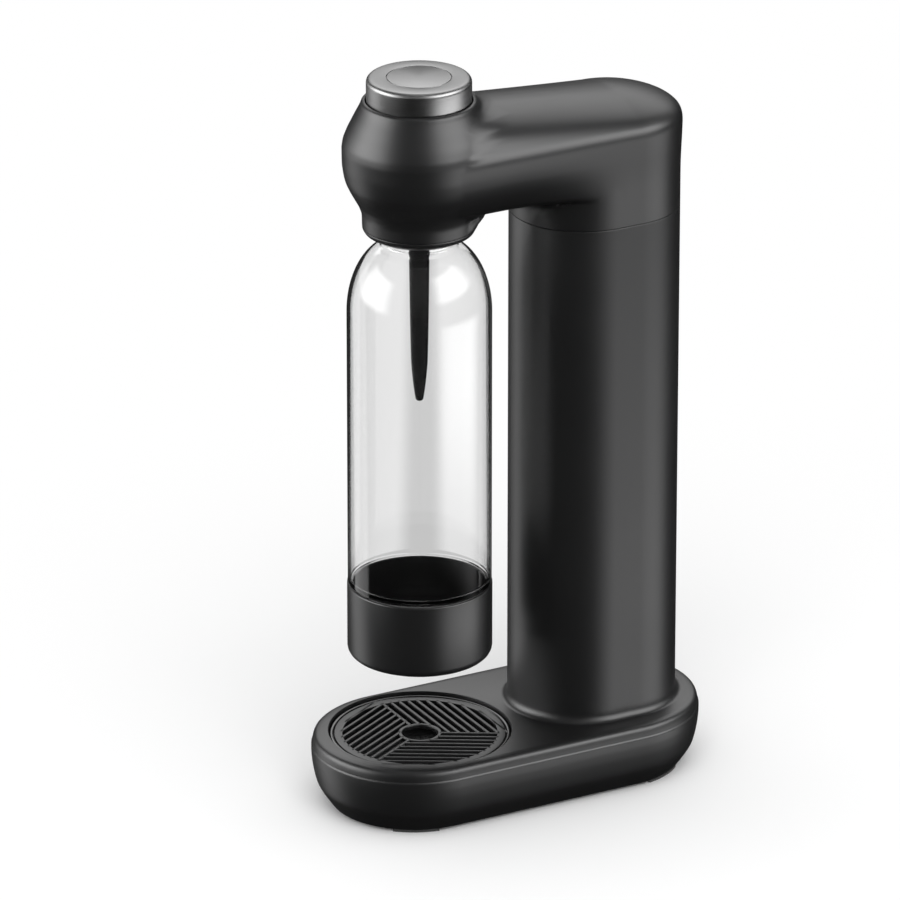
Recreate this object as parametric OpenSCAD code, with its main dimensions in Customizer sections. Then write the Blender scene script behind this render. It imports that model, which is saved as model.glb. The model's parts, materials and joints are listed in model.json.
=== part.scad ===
// Sparkling water maker: an upright gas cylinder stands in the column, and a button on the
// head works a lever that opens its valve, so that gas runs down a nozzle into the bottle.
// Millimetres, Z up, bottle side towards -Y, origin on the table under the base's middle.

/* [Base] */
// Width of the base
base_w = 115; // [110:1:130]
// Length of the base
base_len = 232.6; // [228:0.1:260]
// Height of the base's top above the table
base_top_z = 41.3; // [38:0.1:50]
// How far the feet lift the base off the table
foot_lift = 1.7; // [1:0.1:3]
// Wall of the base shell
base_wall = 2.6; // [2:0.1:3.5]
// Thickness of the plate that closes the base
plate_t = 3; // [2:0.1:5]
// Width of a foot, across
foot_w = 10.5; // [8:0.5:12]
// Angle that each foot spans along the edge
foot_span = 32; // [20:1:44]

/* [Column] */
// Width of the column
column_w = 81.2; // [79:0.1:86]
// Depth of the column, front to back
column_depth = 96.9; // [94:0.1:104]
// Distance of the column's axis in front of the base's rear end
column_in = 61.5; // [58:0.1:64]
// Wall of the column
column_wall = 2.6; // [2:0.1:3.2]
// Height of the joint line between column and head
seam_z = 336; // [320:1:360]
// How far the column's foot flares out
flare_out = 3.7; // [1:0.1:5]
// Height of that flare
flare_h = 7; // [4:0.5:10]
// Thickness of the flanges inside the column's ends
flange_t = 5; // [3:0.5:8]

/* [Head] */
// Width of the head at its ridge line
head_w = 84.6; // [83:0.1:90]
// Wall of the head
head_wall = 2.8; // [2:0.1:3.2]
// Height of the ridge line above the seam
ridge_h = 53; // [50:0.5:58]
// Height of the lip round the button above the seam
lip_h = 80.3; // [78:0.1:86]
// Outer radius of that lip
lip_r = 31.3; // [31.2:0.1:33]
// Height of the arch between bulb and column above the seam
arch_h = 16; // [15:0.5:17.5]
// Height of the bulb's lower edge above the seam
bulb_h = 8; // [7:0.5:9]
// Radius of the bulb at its lower edge
bulb_low_r = 31.3; // [31:0.1:32.5]
// Height of the collar ring under the bulb
collar_ring_h = 5.8; // [4:0.1:6]

/* [Bottle] */
// Diameter of the bottle
bottle_d = 80; // [76:0.5:84]
// Distance of the bottle's axis behind the base's front end
bottle_in = 61.4; // [60:0.1:64]
// Wall of the bottle
bottle_wall = 2; // [1.5:0.1:2.4]
// Diameter of its neck
neck_d = 40; // [38:0.5:40.5]
// Height from the shoulder's start up to the seam
shoulder_drop = 43; // [42:0.5:46]
// Height of the bottle's underside above the table
bottle_z = 89; // [86:0.5:110]
// Height of the boot round the bottle's foot
boot_h = 43.2; // [38:0.1:55]
// Wall of the boot
boot_wall = 2.2; // [1.6:0.1:2.6]
// How far the bottle is lowered once it is turned out of the socket
bottle_travel = 22; // [10:1:22]

/* [Nozzle] */
// Length of the nozzle below the seam
nozzle_drop = 95.4; // [60:0.1:120]
// Diameter of the nozzle at its root
nozzle_d = 11.9; // [9:0.1:13]
// Diameter of its gas bore
nozzle_bore_d = 2; // [1:0.1:3]

/* [Button] */
// Diameter of the button
button_d = 57.8; // [54:0.1:58]
// How far the button stands above the lip
button_proud = 13; // [11:0.1:16]
// Travel of the button
button_travel = 8; // [5:0.5:8.5]
// Diameter of the disc let into the button's top
inlay_d = 35.2; // [24:0.1:44]
// Wire of the button's return spring
spring_wire = 1.6; // [1.2:0.1:2]
// Turns of that spring
spring_turns = 6; // [4:1:7]

/* [Gas cylinder] */
// Diameter of the gas cylinder
cyl_d = 60; // [56:0.5:60]
// Height of its underside above the table
cyl_z = 9.5; // [9:0.5:12]
// Travel of the cylinder as it is unscrewed
cyl_travel = 9; // [6:0.5:9]
// Diameter of its valve's thread
valve_thread_d = 21; // [19:0.1:22]

/* [Lever] */
// Width of the lever
lever_w = 14; // [10:0.5:14]
// Height of the lever's bar
lever_t = 6; // [4:0.5:7]
// Distance of the lever's pivot behind the cylinder's axis
pivot_back = 24; // [20:0.5:25]
// Diameter of the pivot pin
pivot_d = 6; // [5:0.1:7]

/* [Drip tray] */
// Width of the base's top beside the well that the tray sits in
well_rim = 6.2; // [5.5:0.1:8.5]
// Depth of that well
well_depth = 18; // [14:0.5:19]
// Width of the flat ring round the grille's slots
grille_rim = 4.6; // [4:0.1:8]
// Radius of the hole in the grille's middle
finger_r = 10.1; // [9:0.1:13]
// Pitch of the slots
slot_pitch = 4.8; // [4:0.1:7]
// Width of each bar between the slots
bar_w = 1.7; // [1.2:0.1:2.2]
// Travel of the tray as it is lifted out
tray_travel = 18; // [10:1:18]
// Travel of the grille as it is lifted off the tray
grille_travel = 8; // [4:1:8]

/* [Hidden] */

$fn = 96;

// Shared clearances and the overrun of every cut
over = 1;
seat_gap = 0.3;
slide_gap = 0.1;
run_gap = 0.05;
bury = 0.5;

// Base values
base_r = base_w / 2;
base_half = (base_len - base_w) / 2;
column_back = base_len / 2 - column_in;
bottle_reach = base_len / 2 - bottle_in;
well_r = base_r - well_rim;
base_h = base_top_z - foot_lift;
base_shares = [[0.821, 0], [0.869, 0.1], [0.914, 0.2], [0.950, 0.3], [0.976, 0.45], [0.993, 0.6],
    [1, 0.75], [1, 0.86], [0.988, 0.925], [0.958, 0.972], [0.9, 1]];
base_inner_r = base_r - base_wall;
base_inner_low_r = base_inner_r * base_shares[0][0];
plate_z = foot_lift;
well_floor_z = base_top_z - well_depth;
foot_outer_r = base_r * base_shares[0][0] - seat_gap;
foot_angle = 26.5;
screw_r = 2;
screw_head_r = 3.6;
screw_head_h = 2;
base_screw_in = 6.5;
base_screw_ring_r = base_inner_low_r - base_screw_in;
base_screw_angle = 62;
boss_r = 4.6;
mouth_gap = 3;

// Column values
column_r = column_w / 2;
column_half = (column_depth - column_w) / 2;
column_in_r = column_r - column_wall;
flange_w = 4.8;
flange_r = column_in_r - flange_w;
flange_mid_r = flange_r + flange_w / 2;
flange_screw_r = 1.6;
flange_head_r = 2;
flange_screw_angle = 30;
cyl_r = cyl_d / 2;
cyl_gap = 0.4;
guide_t = 6;
guide_low_up = 28.7;
guide_high_down = 51;
guide_low_z = base_top_z + guide_low_up;
guide_high_z = seam_z - guide_high_down;

// Head values, as heights above the seam
head_r = head_w / 2;
rear_over = 1;
rear_r = column_r + rear_over;
rear_y = column_back + column_half;
bottle_y = -bottle_reach;
seam_gap = 0.4;
ridge_z = seam_z + ridge_h;
lip_z = seam_z + lip_h;
bulb_z = seam_z + bulb_h;
arch_z = seam_z + arch_h;
button_hole_gap = 0.8;
button_r = button_d / 2;
button_hole_r = button_r + button_hole_gap;
// The bulb's side from its lower edge to the ridge: share of the height, share of the swell
bulb_low_shares = [[0, 0], [0.13, 0.015], [0.26, 0.17], [0.37, 0.41], [0.48, 0.65], [0.59, 0.84],
    [0.7, 0.935], [0.82, 0.99], [1, 1]];
// The bulb's shoulder from the ridge up to the lip, the same way
bulb_top_shares = [[0.14, 0.945], [0.25, 0.85], [0.36, 0.74], [0.5, 0.57], [0.64, 0.4],
    [0.78, 0.22], [0.9, 0.08], [1, 0]];
// The arm's lower side: share of the height from arch to ridge, share of the half width
// at the bulb and at the column
arm_low_shares = [[0, 0.62, 0.7], [0.03, 0.76, 0.9], [0.1, 0.78, 0.955], [0.2, 0.825, 0.972],
    [0.33, 0.887, 0.979], [0.48, 0.945, 0.984], [0.63, 0.979, 0.991], [0.8, 0.995, 0.996],
    [1, 1, 1]];
// The arm's top: share of the half width, then share of the rise at the bulb and at the column
arm_top_shares = [[0.975, 0.03, 0.17], [0.925, 0.115, 0.3], [0.83, 0.285, 0.415],
    [0.735, 0.45, 0.52], [0.67, 0.585, 0.59], [0.62, 0.68, 0.64], [0.52, 0.82, 0.735],
    [0.36, 0.94, 0.86], [0.24, 0.975, 0.945], [0, 1, 1]];
arm_rise_front = 25.2;
arm_rise_rear = 14.8;
arm_stations = 10;
stub_rise = 30;
stub_top_z = seam_z + stub_rise;

// Collar and bottle socket
collar_ring_top_z = bulb_z - seam_gap;
collar_ring_z = collar_ring_top_z - collar_ring_h;
collar_round_w = 6.3;
neck_r = neck_d / 2;
neck_gap = 0.4;
lug_out = 1.2;
lug_h = 2.2;
lug_span = 44;
lug_count = 3;
lug_drop = 7;
socket_bore_r = neck_r + lug_out + neck_gap;
socket_wall = 4.6;
socket_r = socket_bore_r + socket_wall;
neck_rise = 15;
neck_top_z = seam_z + neck_rise;
neck_wall = 2.2;
seal_t = 2.2;
seal_in_r = 14.5;
socket_rise = 26;
socket_top_z = seam_z + socket_rise;
socket_ceiling_z = neck_top_z + seat_gap + seal_t;

// Bottle and boot
bottle_r = bottle_d / 2;
shoulder_z = seam_z - shoulder_drop;
shoulder_h = 41;
shoulder_flat_r = 14;
bottle_in_r = bottle_r - bottle_wall;
boot_step = 0.4;
boot_r = bottle_r + boot_step;
boot_in_r = boot_r - boot_wall;
boot_edge_r = 5;
boot_top_z = bottle_z + boot_h;
bottle_foot_r = boot_in_r - seat_gap;
boot_floor_t = 2.4;
dome_h = 15;
bottle_edge = 1;
shoulder_end = 75;
neck_base_z = shoulder_z + shoulder_h;
// The pushed-up foot of the bottle: share of its radius, share of the dome's height
dome_shares = [[0, 1], [0.22, 0.96], [0.24, 0.87], [0.46, 0.72], [0.48, 0.62], [0.66, 0.36],
    [0.78, 0.12], [0.86, 0.02]];

// Nozzle
nozzle_r = nozzle_d / 2;
nozzle_tip_z = seam_z - nozzle_drop;
nozzle_flange_r = 9;
nozzle_flange_h = 3.2;
nozzle_flange_z = socket_top_z - nozzle_flange_h - seat_gap;
// The nozzle's taper: share of its length up from the tip, share of its root radius
nozzle_shares = [[0, 0.3], [0.01, 0.36], [0.19, 0.77], [0.42, 0.87], [0.7, 0.94], [1, 1]];
gasway_r = 1.2;
ring_r = 0.8;
nozzle_pocket_z = nozzle_flange_z - 2 * ring_r - 2 * slide_gap;

// Gas cylinder and valve block
chassis_t = 3;
cyl_wall = 3;
valve_rise = 21;
valve_top_z = seam_z + valve_rise;
valve_thread_r = valve_thread_d / 2;
valve_thread_h = 12;
valve_collar_step = 3.5;
valve_collar_r = valve_thread_r + valve_collar_step;
valve_collar_h = 15;
valve_collar_z = valve_top_z - valve_thread_h - valve_collar_h;
cyl_edge = 3;
cyl_foot_r = cyl_r - cyl_edge;
cyl_neck_r = 13;
cyl_neck_bore_r = 9;
cyl_neck_h = 6;
cyl_dome_h = 28;
cyl_neck_z = valve_collar_z - cyl_neck_h;
cyl_dome_z = cyl_neck_z - cyl_dome_h;
stem_r = 1.8;
stem_proud = 1.4;
stem_len = 11;
block_r = 18;
block_rise = 36;
block_z = seam_z + chassis_t;
block_top_z = seam_z + block_rise;
thread_gap = 0.25;
block_flange_w = 32;
block_flange_len = 54;
block_flange_t = 4;
block_screw_y = 22.5;
block_ceiling_z = valve_top_z + seat_gap + seal_t;
adapter_seal_r = 8.5;
adapter_seal_in_r = 4;
pin_r = 2.5;
pin_head_r = 4;
pin_head_h = 1.8;
pin_low_z = valve_top_z + stem_proud + seat_gap;
pin_rise = 4.3;
pin_top_z = block_top_z + pin_rise;

// Chassis
chassis_wall_x = 21;
beam_z = socket_top_z;
beam_low_h = 5.5;
ear_r = 7;
chassis_edge = 1.5;
chassis_step_in = 34.8;
chassis_step_y = column_back - chassis_step_in;
chassis_ring_r = 30;
boss_notch_gap = 0.6;
head_boss_r = 4;
head_boss_h = 14;
head_boss_in = 1;
head_boss_x = flange_mid_r - head_boss_in;
head_screw_r = 1.5;
head_screw_head_r = 3;

// Lever
lever_rise = 44;
lever_z = seam_z + lever_rise;
lever_mid_z = lever_z + lever_t / 2;
pivot_y = column_back + pivot_back;
pivot_r = pivot_d / 2;
hub_r = 7;
spacer_r = 5;
lever_front = 7;
pad_r = 3.7;
pad_rise = 4;
pad_z = lever_z + pad_rise;
pad_top_z = pad_z + pad_r;
adjust_r = 3;
adjust_head_r = 5;
adjust_head_h = 3;
button_arm = bottle_reach + pivot_y;

// Button
button_top_z = lip_z + button_proud;
cap_wall = 1.4;
cap_edge_r = 3;
skirt_in = 11;
inlay_t = 0.8;
inlay_gap = 0.25;
plunger_z = pad_top_z + seat_gap;
plunger_r = 9;
plunger_in_r = 6;
plunger_disc_t = 3;
guide_plate_t = 3.5;
guide_plate_rise = 4.3;
guide_plate_z = pad_top_z + guide_plate_rise;
guide_plate_r = 35;
guide_boss_ring_r = 33.8;
guide_boss_r = 3.4;
guide_screw_r = 1.3;
guide_screw_head_r = 2.6;
guide_count = 3;
guide_first = 30;
guide_screw_depth = 6;
spring_r = 14;
spring_low_z = guide_plate_z + guide_plate_t + seat_gap;
spring_top_z = button_top_z - cap_wall - inlay_t - plunger_disc_t - seat_gap;
spring_sides = 6;
spring_steps = 12;

// Gas tube and valves
tube_r = 2.2;
tube_x = 12;
tube_bend_r = 4.4;
tube_rise = 8;
tube_rear_in = 7.8;
tube_front_in = 6.9;
tube_z = block_top_z + tube_rise;
tube_rear_y = column_back - tube_rear_in;
tube_front_y = bottle_y + tube_front_in;
tube_seat = 3;
nut_r = 3.8;
nut_h = 3.4;
vent_r = 4;
vent_stem_r = 1.8;
vent_h = 11;
vent_x = -12.4;
vent_y = bottle_y;
relief_r = 4.5;
relief_len = 15;
relief_rise = 17;
relief_stem_r = 3;
relief_z = seam_z + relief_rise;
socket_screw_ring_r = 22.5;
socket_screw_angles = [90, 205, 335];
socket_screw_depth = 6;

// Drip tray
tray_lip_gap = 0.5;
tray_r = well_r - tray_lip_gap;
tray_wall = 1.8;
tray_z = well_floor_z + seat_gap;
lip_drop = 1.7;
tray_lip_w = 2.4;
tray_ledge_w = 3;
tray_top_z = base_top_z - lip_drop;
grille_r = tray_r - tray_lip_w - seat_gap;
grille_t = 2.6;
grille_top_z = tray_top_z - seat_gap;
grille_z = grille_top_z - grille_t;
ledge_z = grille_z - seat_gap;
finger_rim = 2;
spoke_w = 2;
slot_field_r = grille_r - grille_rim;
slot_count = ceil(slot_field_r / slot_pitch);
first_spoke = 60;

// Colours
satin_black = [0.13, 0.13, 0.135];
gloss_black = [0.05, 0.05, 0.055];
steel = [0.62, 0.62, 0.63];
zinc = [0.7, 0.72, 0.74];
brass = [0.78, 0.62, 0.33];
rubber = [0.08, 0.08, 0.08];
clear_plastic = [0.85, 0.9, 0.92, 0.35];
grey_plastic = [0.35, 0.35, 0.37];

// Point between two values
function mix(a, b, t) = a + (b - a) * t;

// A stadium-shaped prism, its straight part along Y
module stadium(r, half, h) {
    linear_extrude(height = h) {
        translate([0, half]) circle(r = r);
        translate([0, -half]) circle(r = r);
        translate([-r, -half]) square([2 * r, 2 * half]);
    }
}

// A stadium-shaped solid whose edge has the given profile of [radius, height] points
module stadium_turned(profile, half) {
    for (turn = [0, 180])
        rotate([0, 0, turn]) translate([0, half, 0])
            rotate_extrude(angle = 180) polygon(profile);
    rotate([90, 0, 0]) translate([0, 0, -half])
        linear_extrude(height = 2 * half) {
            polygon(profile);
            mirror([1, 0]) polygon(profile);
        }
}

// A screw standing on its head, or hanging from it
module screw(shank_r, shank_len, head_r, head_h) {
    translate([0, 0, -head_h]) cylinder(r = head_r, h = head_h, $fn = 32);
    cylinder(r = shank_r, h = shank_len, $fn = 32);
}

// Places of the four screws on a flange of the column
module at_flange_screws() {
    for (sx = [-1, 1], sy = [-1, 1])
        translate([sx * flange_mid_r * cos(flange_screw_angle),
            column_back + sy * (column_half + flange_mid_r * sin(flange_screw_angle)), 0])
            children();
}

// Places of the four screws of the base plate
module at_base_screws() {
    for (sx = [-1, 1], sy = [-1, 1])
        translate([sx * base_screw_ring_r * cos(base_screw_angle),
            sy * (base_half + base_screw_ring_r * sin(base_screw_angle)), 0])
            children();
}

function base_outer_profile() = concat([[0, foot_lift]],
    [for (p = base_shares) [base_r * p[0], foot_lift + base_h * p[1]]],
    [[0, base_top_z]]);

function base_inner_profile() = concat(
    [[0, foot_lift - over], [base_inner_low_r, foot_lift - over]],
    [for (p = base_shares) [base_inner_r * p[0], foot_lift + (base_h - base_wall) * p[1]]],
    [[0, base_top_z - base_wall]]);

module base_shell() {
    color(satin_black) difference() {
        union() {
            difference() {
                stadium_turned(base_outer_profile(), base_half);
                stadium_turned(base_inner_profile(), base_half);
            }
            translate([0, bottle_y, well_floor_z - base_wall])
                cylinder(r = well_r + base_wall, h = well_depth + base_wall / 2);
            at_base_screws()
                translate([0, 0, plate_z + plate_t])
                    cylinder(r = boss_r, h = base_h - plate_t - base_wall / 2, $fn = 32);
        }
        translate([0, bottle_y, well_floor_z]) cylinder(r = well_r, h = well_depth + over);
        translate([0, column_back, base_top_z - base_wall - over])
            cylinder(r = cyl_r + mouth_gap, h = base_wall + 2 * over);
        at_flange_screws()
            translate([0, 0, base_top_z - base_wall - over])
                cylinder(r = flange_screw_r, h = base_wall + 2 * over, $fn = 32);
        at_base_screws()
            translate([0, 0, plate_z]) cylinder(r = screw_r, h = plate_t + boss_r * 2, $fn = 32);
    }
}

module base_plate() {
    color(steel) difference() {
        translate([0, 0, plate_z]) stadium(base_inner_low_r - seat_gap, base_half, plate_t);
        translate([0, column_back, plate_z - over])
            cylinder(r = cyl_r + mouth_gap, h = plate_t + 2 * over);
        at_base_screws() {
            translate([0, 0, plate_z - over]) cylinder(r = screw_r, h = plate_t + 2 * over, $fn = 32);
            translate([0, 0, plate_z - over])
                cylinder(r = screw_head_r, h = screw_head_h + over, $fn = 32);
        }
    }
}

// Centre angle of a foot, seen from the base's end arc that it follows
function foot_centre(sx, sy) = sx > 0 ? sy * foot_angle : 180 - sy * foot_angle;

module feet() {
    color(rubber)
    for (sx = [-1, 1], sy = [-1, 1])
        translate([0, sy * base_half, 0])
            rotate([0, 0, foot_centre(sx, sy) - foot_span / 2])
                rotate_extrude(angle = foot_span)
                    translate([foot_outer_r - foot_w, 0]) square([foot_w, foot_lift]);
}

module base_screws() {
    color(zinc) at_base_screws()
        translate([0, 0, plate_z + screw_head_h])
            screw(screw_r, plate_t + boss_r, screw_head_r - slide_gap, screw_head_h - seat_gap);
}

// The column's outer edge, with its flared foot
function column_profile() = concat([[0, base_top_z]],
    [for (t = [0 : 15 : 90]) [column_r + flare_out * (1 - sin(t)),
        base_top_z + flare_h * (1 - cos(t))]],
    [[column_r, seam_z], [0, seam_z]]);

module column_shell() {
    color(satin_black) difference() {
        translate([0, column_back, 0]) stadium_turned(column_profile(), column_half);
        translate([0, column_back, base_top_z + flange_t])
            stadium(column_in_r, column_half, seam_z - base_top_z - 2 * flange_t);
        translate([0, column_back, base_top_z - over])
            stadium(flange_r, column_half, seam_z - base_top_z + 2 * over);
        at_flange_screws()
            translate([0, 0, base_top_z - over])
                cylinder(r = flange_screw_r, h = seam_z - base_top_z + 2 * over, $fn = 32);
        at_head_bosses()
            translate([0, 0, seam_z - flange_t - over])
                cylinder(r = head_screw_r, h = flange_t + 2 * over, $fn = 32);
    }
}

module column_screws() {
    color(zinc) at_flange_screws()
        translate([0, 0, base_top_z - base_wall])
            screw(flange_screw_r, base_wall + flange_t, flange_head_r, screw_head_h);
}

module guide_rings() {
    color(grey_plastic)
    for (z = [guide_low_z, guide_high_z])
        translate([0, column_back, z]) difference() {
            stadium(column_in_r - slide_gap, column_half, guide_t);
            translate([0, 0, -over]) cylinder(r = cyl_r + cyl_gap, h = guide_t + 2 * over);
        }
}

// One side wall of the chassis, from the column's mouth up to the lever's pivot
module chassis_wall() {
    wall_rear_y = pivot_y + ear_r;
    beam_front_y = bottle_y + chassis_ring_r - chassis_t;
    difference() {
        union() {
            rotate([90, 0, 90]) linear_extrude(height = chassis_t)
                polygon([[chassis_step_y, seam_z + chassis_t - bury], [wall_rear_y, seam_z + chassis_t - bury],
                    [wall_rear_y, lever_mid_z], [pivot_y - ear_r, lever_mid_z],
                    [pivot_y - ear_r, beam_z + chassis_t], [beam_front_y, beam_z + chassis_t],
                    [beam_front_y, beam_z - beam_low_h], [chassis_step_y, beam_z - beam_low_h]]);
            translate([0, pivot_y, lever_mid_z]) rotate([0, 90, 0])
                cylinder(r = ear_r, h = chassis_t);
        }
        translate([-over, pivot_y, lever_mid_z]) rotate([0, 90, 0])
            cylinder(r = pivot_r, h = chassis_t + 2 * over);
    }
}

module chassis() {
    beam_front_y = bottle_y + chassis_ring_r - chassis_t;
    color(zinc) difference() {
        union() {
            translate([0, column_back, seam_z])
                stadium(column_in_r - chassis_edge, column_half, chassis_t);
            translate([chassis_wall_x, 0, 0]) chassis_wall();
            translate([-chassis_wall_x - chassis_t, 0, 0]) chassis_wall();
            translate([-chassis_wall_x - chassis_t, beam_front_y - chassis_ring_r / 2, beam_z])
                cube([2 * (chassis_wall_x + chassis_t), chassis_step_y - beam_front_y + chassis_ring_r / 2,
                    chassis_t]);
            translate([0, bottle_y, beam_z]) cylinder(r = chassis_ring_r, h = chassis_t);
        }
        translate([0, column_back, seam_z - over])
            cylinder(r = valve_collar_r + over, h = chassis_t + 2 * over);
        at_flange_screws()
            translate([0, 0, seam_z - over])
                cylinder(r = flange_screw_r, h = chassis_t + 2 * over, $fn = 32);
        at_head_bosses()
            translate([0, 0, seam_z - over])
                cylinder(r = head_boss_r + boss_notch_gap, h = chassis_t + 2 * over, $fn = 32);
        at_block_screws()
            translate([0, 0, seam_z - over])
                cylinder(r = screw_r, h = chassis_t + 2 * over, $fn = 32);
        at_socket_screws()
            translate([0, 0, beam_z - over])
                cylinder(r = screw_r, h = chassis_t + 2 * over, $fn = 32);
        translate([tube_x, tube_front_y, beam_z - over])
            cylinder(r = tube_r + seat_gap, h = chassis_t + 2 * over, $fn = 32);
        translate([vent_x, vent_y, beam_z - over])
            cylinder(r = vent_stem_r, h = chassis_t + 2 * over, $fn = 32);
    }
}

module chassis_screws() {
    color(zinc) at_flange_screws()
        translate([0, 0, seam_z + chassis_t]) rotate([180, 0, 0])
            screw(flange_screw_r, chassis_t + flange_t, flange_head_r, screw_head_h);
}

// Places of the two bosses that carry the head's screws
module at_head_bosses() {
    for (sx = [-1, 1])
        translate([sx * head_boss_x, column_back, 0]) children();
}

// Places of the screws through the valve block's flange
module at_block_screws() {
    for (sy = [-1, 1])
        translate([0, column_back + sy * block_screw_y, 0]) children();
}

// Places of the screws that hold the bottle socket up to the chassis
module at_socket_screws() {
    for (a = socket_screw_angles)
        translate([socket_screw_ring_r * cos(a), bottle_y + socket_screw_ring_r * sin(a), 0])
            children();
}

// Places of the screws that hold the button's guide
module at_guide_screws() {
    for (k = [0 : guide_count - 1])
        translate([guide_boss_ring_r * cos(guide_first + k * 360 / guide_count),
            bottle_y + guide_boss_ring_r * sin(guide_first + k * 360 / guide_count), 0])
            children();
}

// Edge of the bulb, drawn in by the given inset
function bulb_points(inset) = concat(
    [for (p = bulb_low_shares) [mix(bulb_low_r, head_r, p[1]) - inset, mix(bulb_z, ridge_z, p[0])]],
    [for (p = bulb_top_shares) [mix(lip_r, head_r, p[1]) - inset, mix(ridge_z, lip_z, p[0])]]);

// Edge of the head's round rear end, drawn in by the given inset
function rear_points(inset) = concat(
    [for (p = arm_low_shares) [(rear_r - inset) * p[2], mix(arch_z + inset, ridge_z, p[0])]],
    [for (p = arm_top_shares) [(rear_r - inset) * p[0], ridge_z + (arm_rise_rear - inset) * p[2]]]);

// Right half of the arm's section at a share t of its length, from below up to the crest
function arm_half_points(t, inset) = concat(
    [for (p = arm_low_shares) [(mix(head_r, rear_r, t) - inset) * mix(p[1], p[2], t),
        mix(arch_z + inset, ridge_z, p[0])]],
    [for (p = arm_top_shares) [(mix(head_r, rear_r, t) - inset) * p[0],
        ridge_z + (mix(arm_rise_front, arm_rise_rear, t) - inset) * mix(p[1], p[2], t)]]);

// The whole section as 3D points, right side up and left side down
function arm_section(t, inset) = let (half = arm_half_points(t, inset), n = len(half))
    concat([for (p = half) [p[0], mix(bottle_y, rear_y, t), p[1]]],
        [for (i = [n - 2 : -1 : 0]) [-half[i][0], mix(bottle_y, rear_y, t), half[i][1]]]);

// Faces of a loft of closed sections with n points each
function loft_faces(sections, n) = concat(
    [[for (j = [n - 1 : -1 : 0]) j]],
    [for (i = [0 : sections - 2], j = [0 : n - 1]) [i * n + j, i * n + (j + 1) % n, (i + 1) * n + (j + 1) % n]],
    [for (i = [0 : sections - 2], j = [0 : n - 1]) [i * n + j, (i + 1) * n + (j + 1) % n, (i + 1) * n + j]],
    [[for (j = [0 : n - 1]) (sections - 1) * n + j]]);

module arm_loft(inset) {
    sections = [for (i = [0 : arm_stations]) arm_section(i / arm_stations, inset)];
    polyhedron(points = [for (s = sections) each s], faces = loft_faces(len(sections), len(sections[0])),
        convexity = 6);
}

// The head's outer form, or with an inset its inner space
module head_form(inset, low_z, lower) {
    translate([0, bottle_y, 0]) rotate_extrude()
        polygon(concat([[0, bulb_z - lower], [bulb_low_r - inset, bulb_z - lower]], bulb_points(inset),
            [[0, lip_z]]));
    arm_loft(inset);
    translate([0, rear_y, 0]) rotate_extrude(angle = 180)
        polygon(concat([[0, arch_z + inset]], rear_points(inset)));
    translate([0, column_back, low_z]) stadium(column_r - inset, column_half, stub_top_z - inset - low_z);
}

module head_housing() {
    color(satin_black) difference() {
        union() {
            difference() {
                head_form(0, seam_z + seam_gap, 0);
                head_form(head_wall, seam_z - over, over);
                translate([0, bottle_y, lip_z - over]) cylinder(r = button_hole_r, h = 2 * over);
            }
            at_head_bosses()
                translate([0, 0, seam_z + seam_gap]) cylinder(r = head_boss_r, h = head_boss_h, $fn = 32);
            intersection() {
                at_guide_screws()
                    translate([0, 0, guide_plate_z + guide_plate_t])
                        cylinder(r = guide_boss_r, h = lip_z - guide_plate_z - guide_plate_t - over, $fn = 32);
                translate([0, bottle_y, 0]) rotate_extrude()
                    polygon(concat([[0, bulb_z]], bulb_points(bury), [[0, lip_z]]));
            }
        }
        translate([0, bottle_y, guide_plate_z + guide_plate_t - over])
            cylinder(r = button_hole_r, h = lip_z - guide_plate_z + over);
        at_head_bosses()
            translate([0, 0, seam_z]) cylinder(r = head_screw_r, h = head_boss_h - over, $fn = 32);
        at_guide_screws()
            translate([0, 0, guide_plate_z])
                cylinder(r = guide_screw_r, h = guide_plate_t + guide_screw_depth, $fn = 32);
    }
}

module head_screws() {
    color(zinc) at_head_bosses()
        translate([0, 0, seam_z - flange_t])
            screw(head_screw_r, flange_t + head_boss_h / 2, head_screw_head_r, screw_head_h);
}

module collar_ring() {
    color(satin_black) translate([0, bottle_y, 0]) rotate_extrude()
        polygon(concat(
            [[socket_bore_r + seat_gap, collar_ring_top_z], [socket_bore_r + seat_gap, collar_ring_z]],
            [for (t = [0 : 15 : 90]) [bulb_low_r - slide_gap - collar_round_w * (1 - sin(t)),
                collar_ring_top_z - collar_ring_h * cos(t)]]));
}

module bottle_socket() {
    color(grey_plastic) difference() {
        translate([0, bottle_y, collar_ring_top_z + slide_gap])
            cylinder(r = socket_r, h = socket_top_z - collar_ring_top_z - slide_gap);
        translate([0, bottle_y, collar_ring_top_z - over])
            cylinder(r = socket_bore_r, h = socket_ceiling_z - collar_ring_top_z + over);
        translate([0, bottle_y, socket_ceiling_z - over])
            cylinder(r = nozzle_r + slide_gap, h = socket_top_z - socket_ceiling_z + 2 * over);
        translate([0, bottle_y, nozzle_pocket_z])
            cylinder(r = nozzle_flange_r + seat_gap, h = socket_top_z - nozzle_pocket_z + over);
        at_socket_screws()
            translate([0, 0, socket_top_z - socket_screw_depth])
                cylinder(r = screw_r, h = socket_screw_depth + over, $fn = 32);
        translate([tube_x, tube_front_y, socket_top_z - tube_seat])
            cylinder(r = tube_r, h = tube_seat + over, $fn = 32);
        translate([0, bottle_y, socket_top_z - tube_seat + gasway_r])
            rotate([0, 90, atan2(tube_front_in, tube_x)])
                cylinder(r = gasway_r, h = norm([tube_x, tube_front_in]), $fn = 32);
        translate([vent_x, vent_y, socket_ceiling_z - over])
            cylinder(r = vent_stem_r, h = socket_top_z - socket_ceiling_z + 2 * over, $fn = 32);
    }
}

module socket_screws() {
    color(zinc) at_socket_screws()
        translate([0, 0, beam_z + chassis_t]) rotate([180, 0, 0])
            screw(screw_r, chassis_t + socket_screw_depth - seat_gap, screw_head_r, screw_head_h);
}

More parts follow.
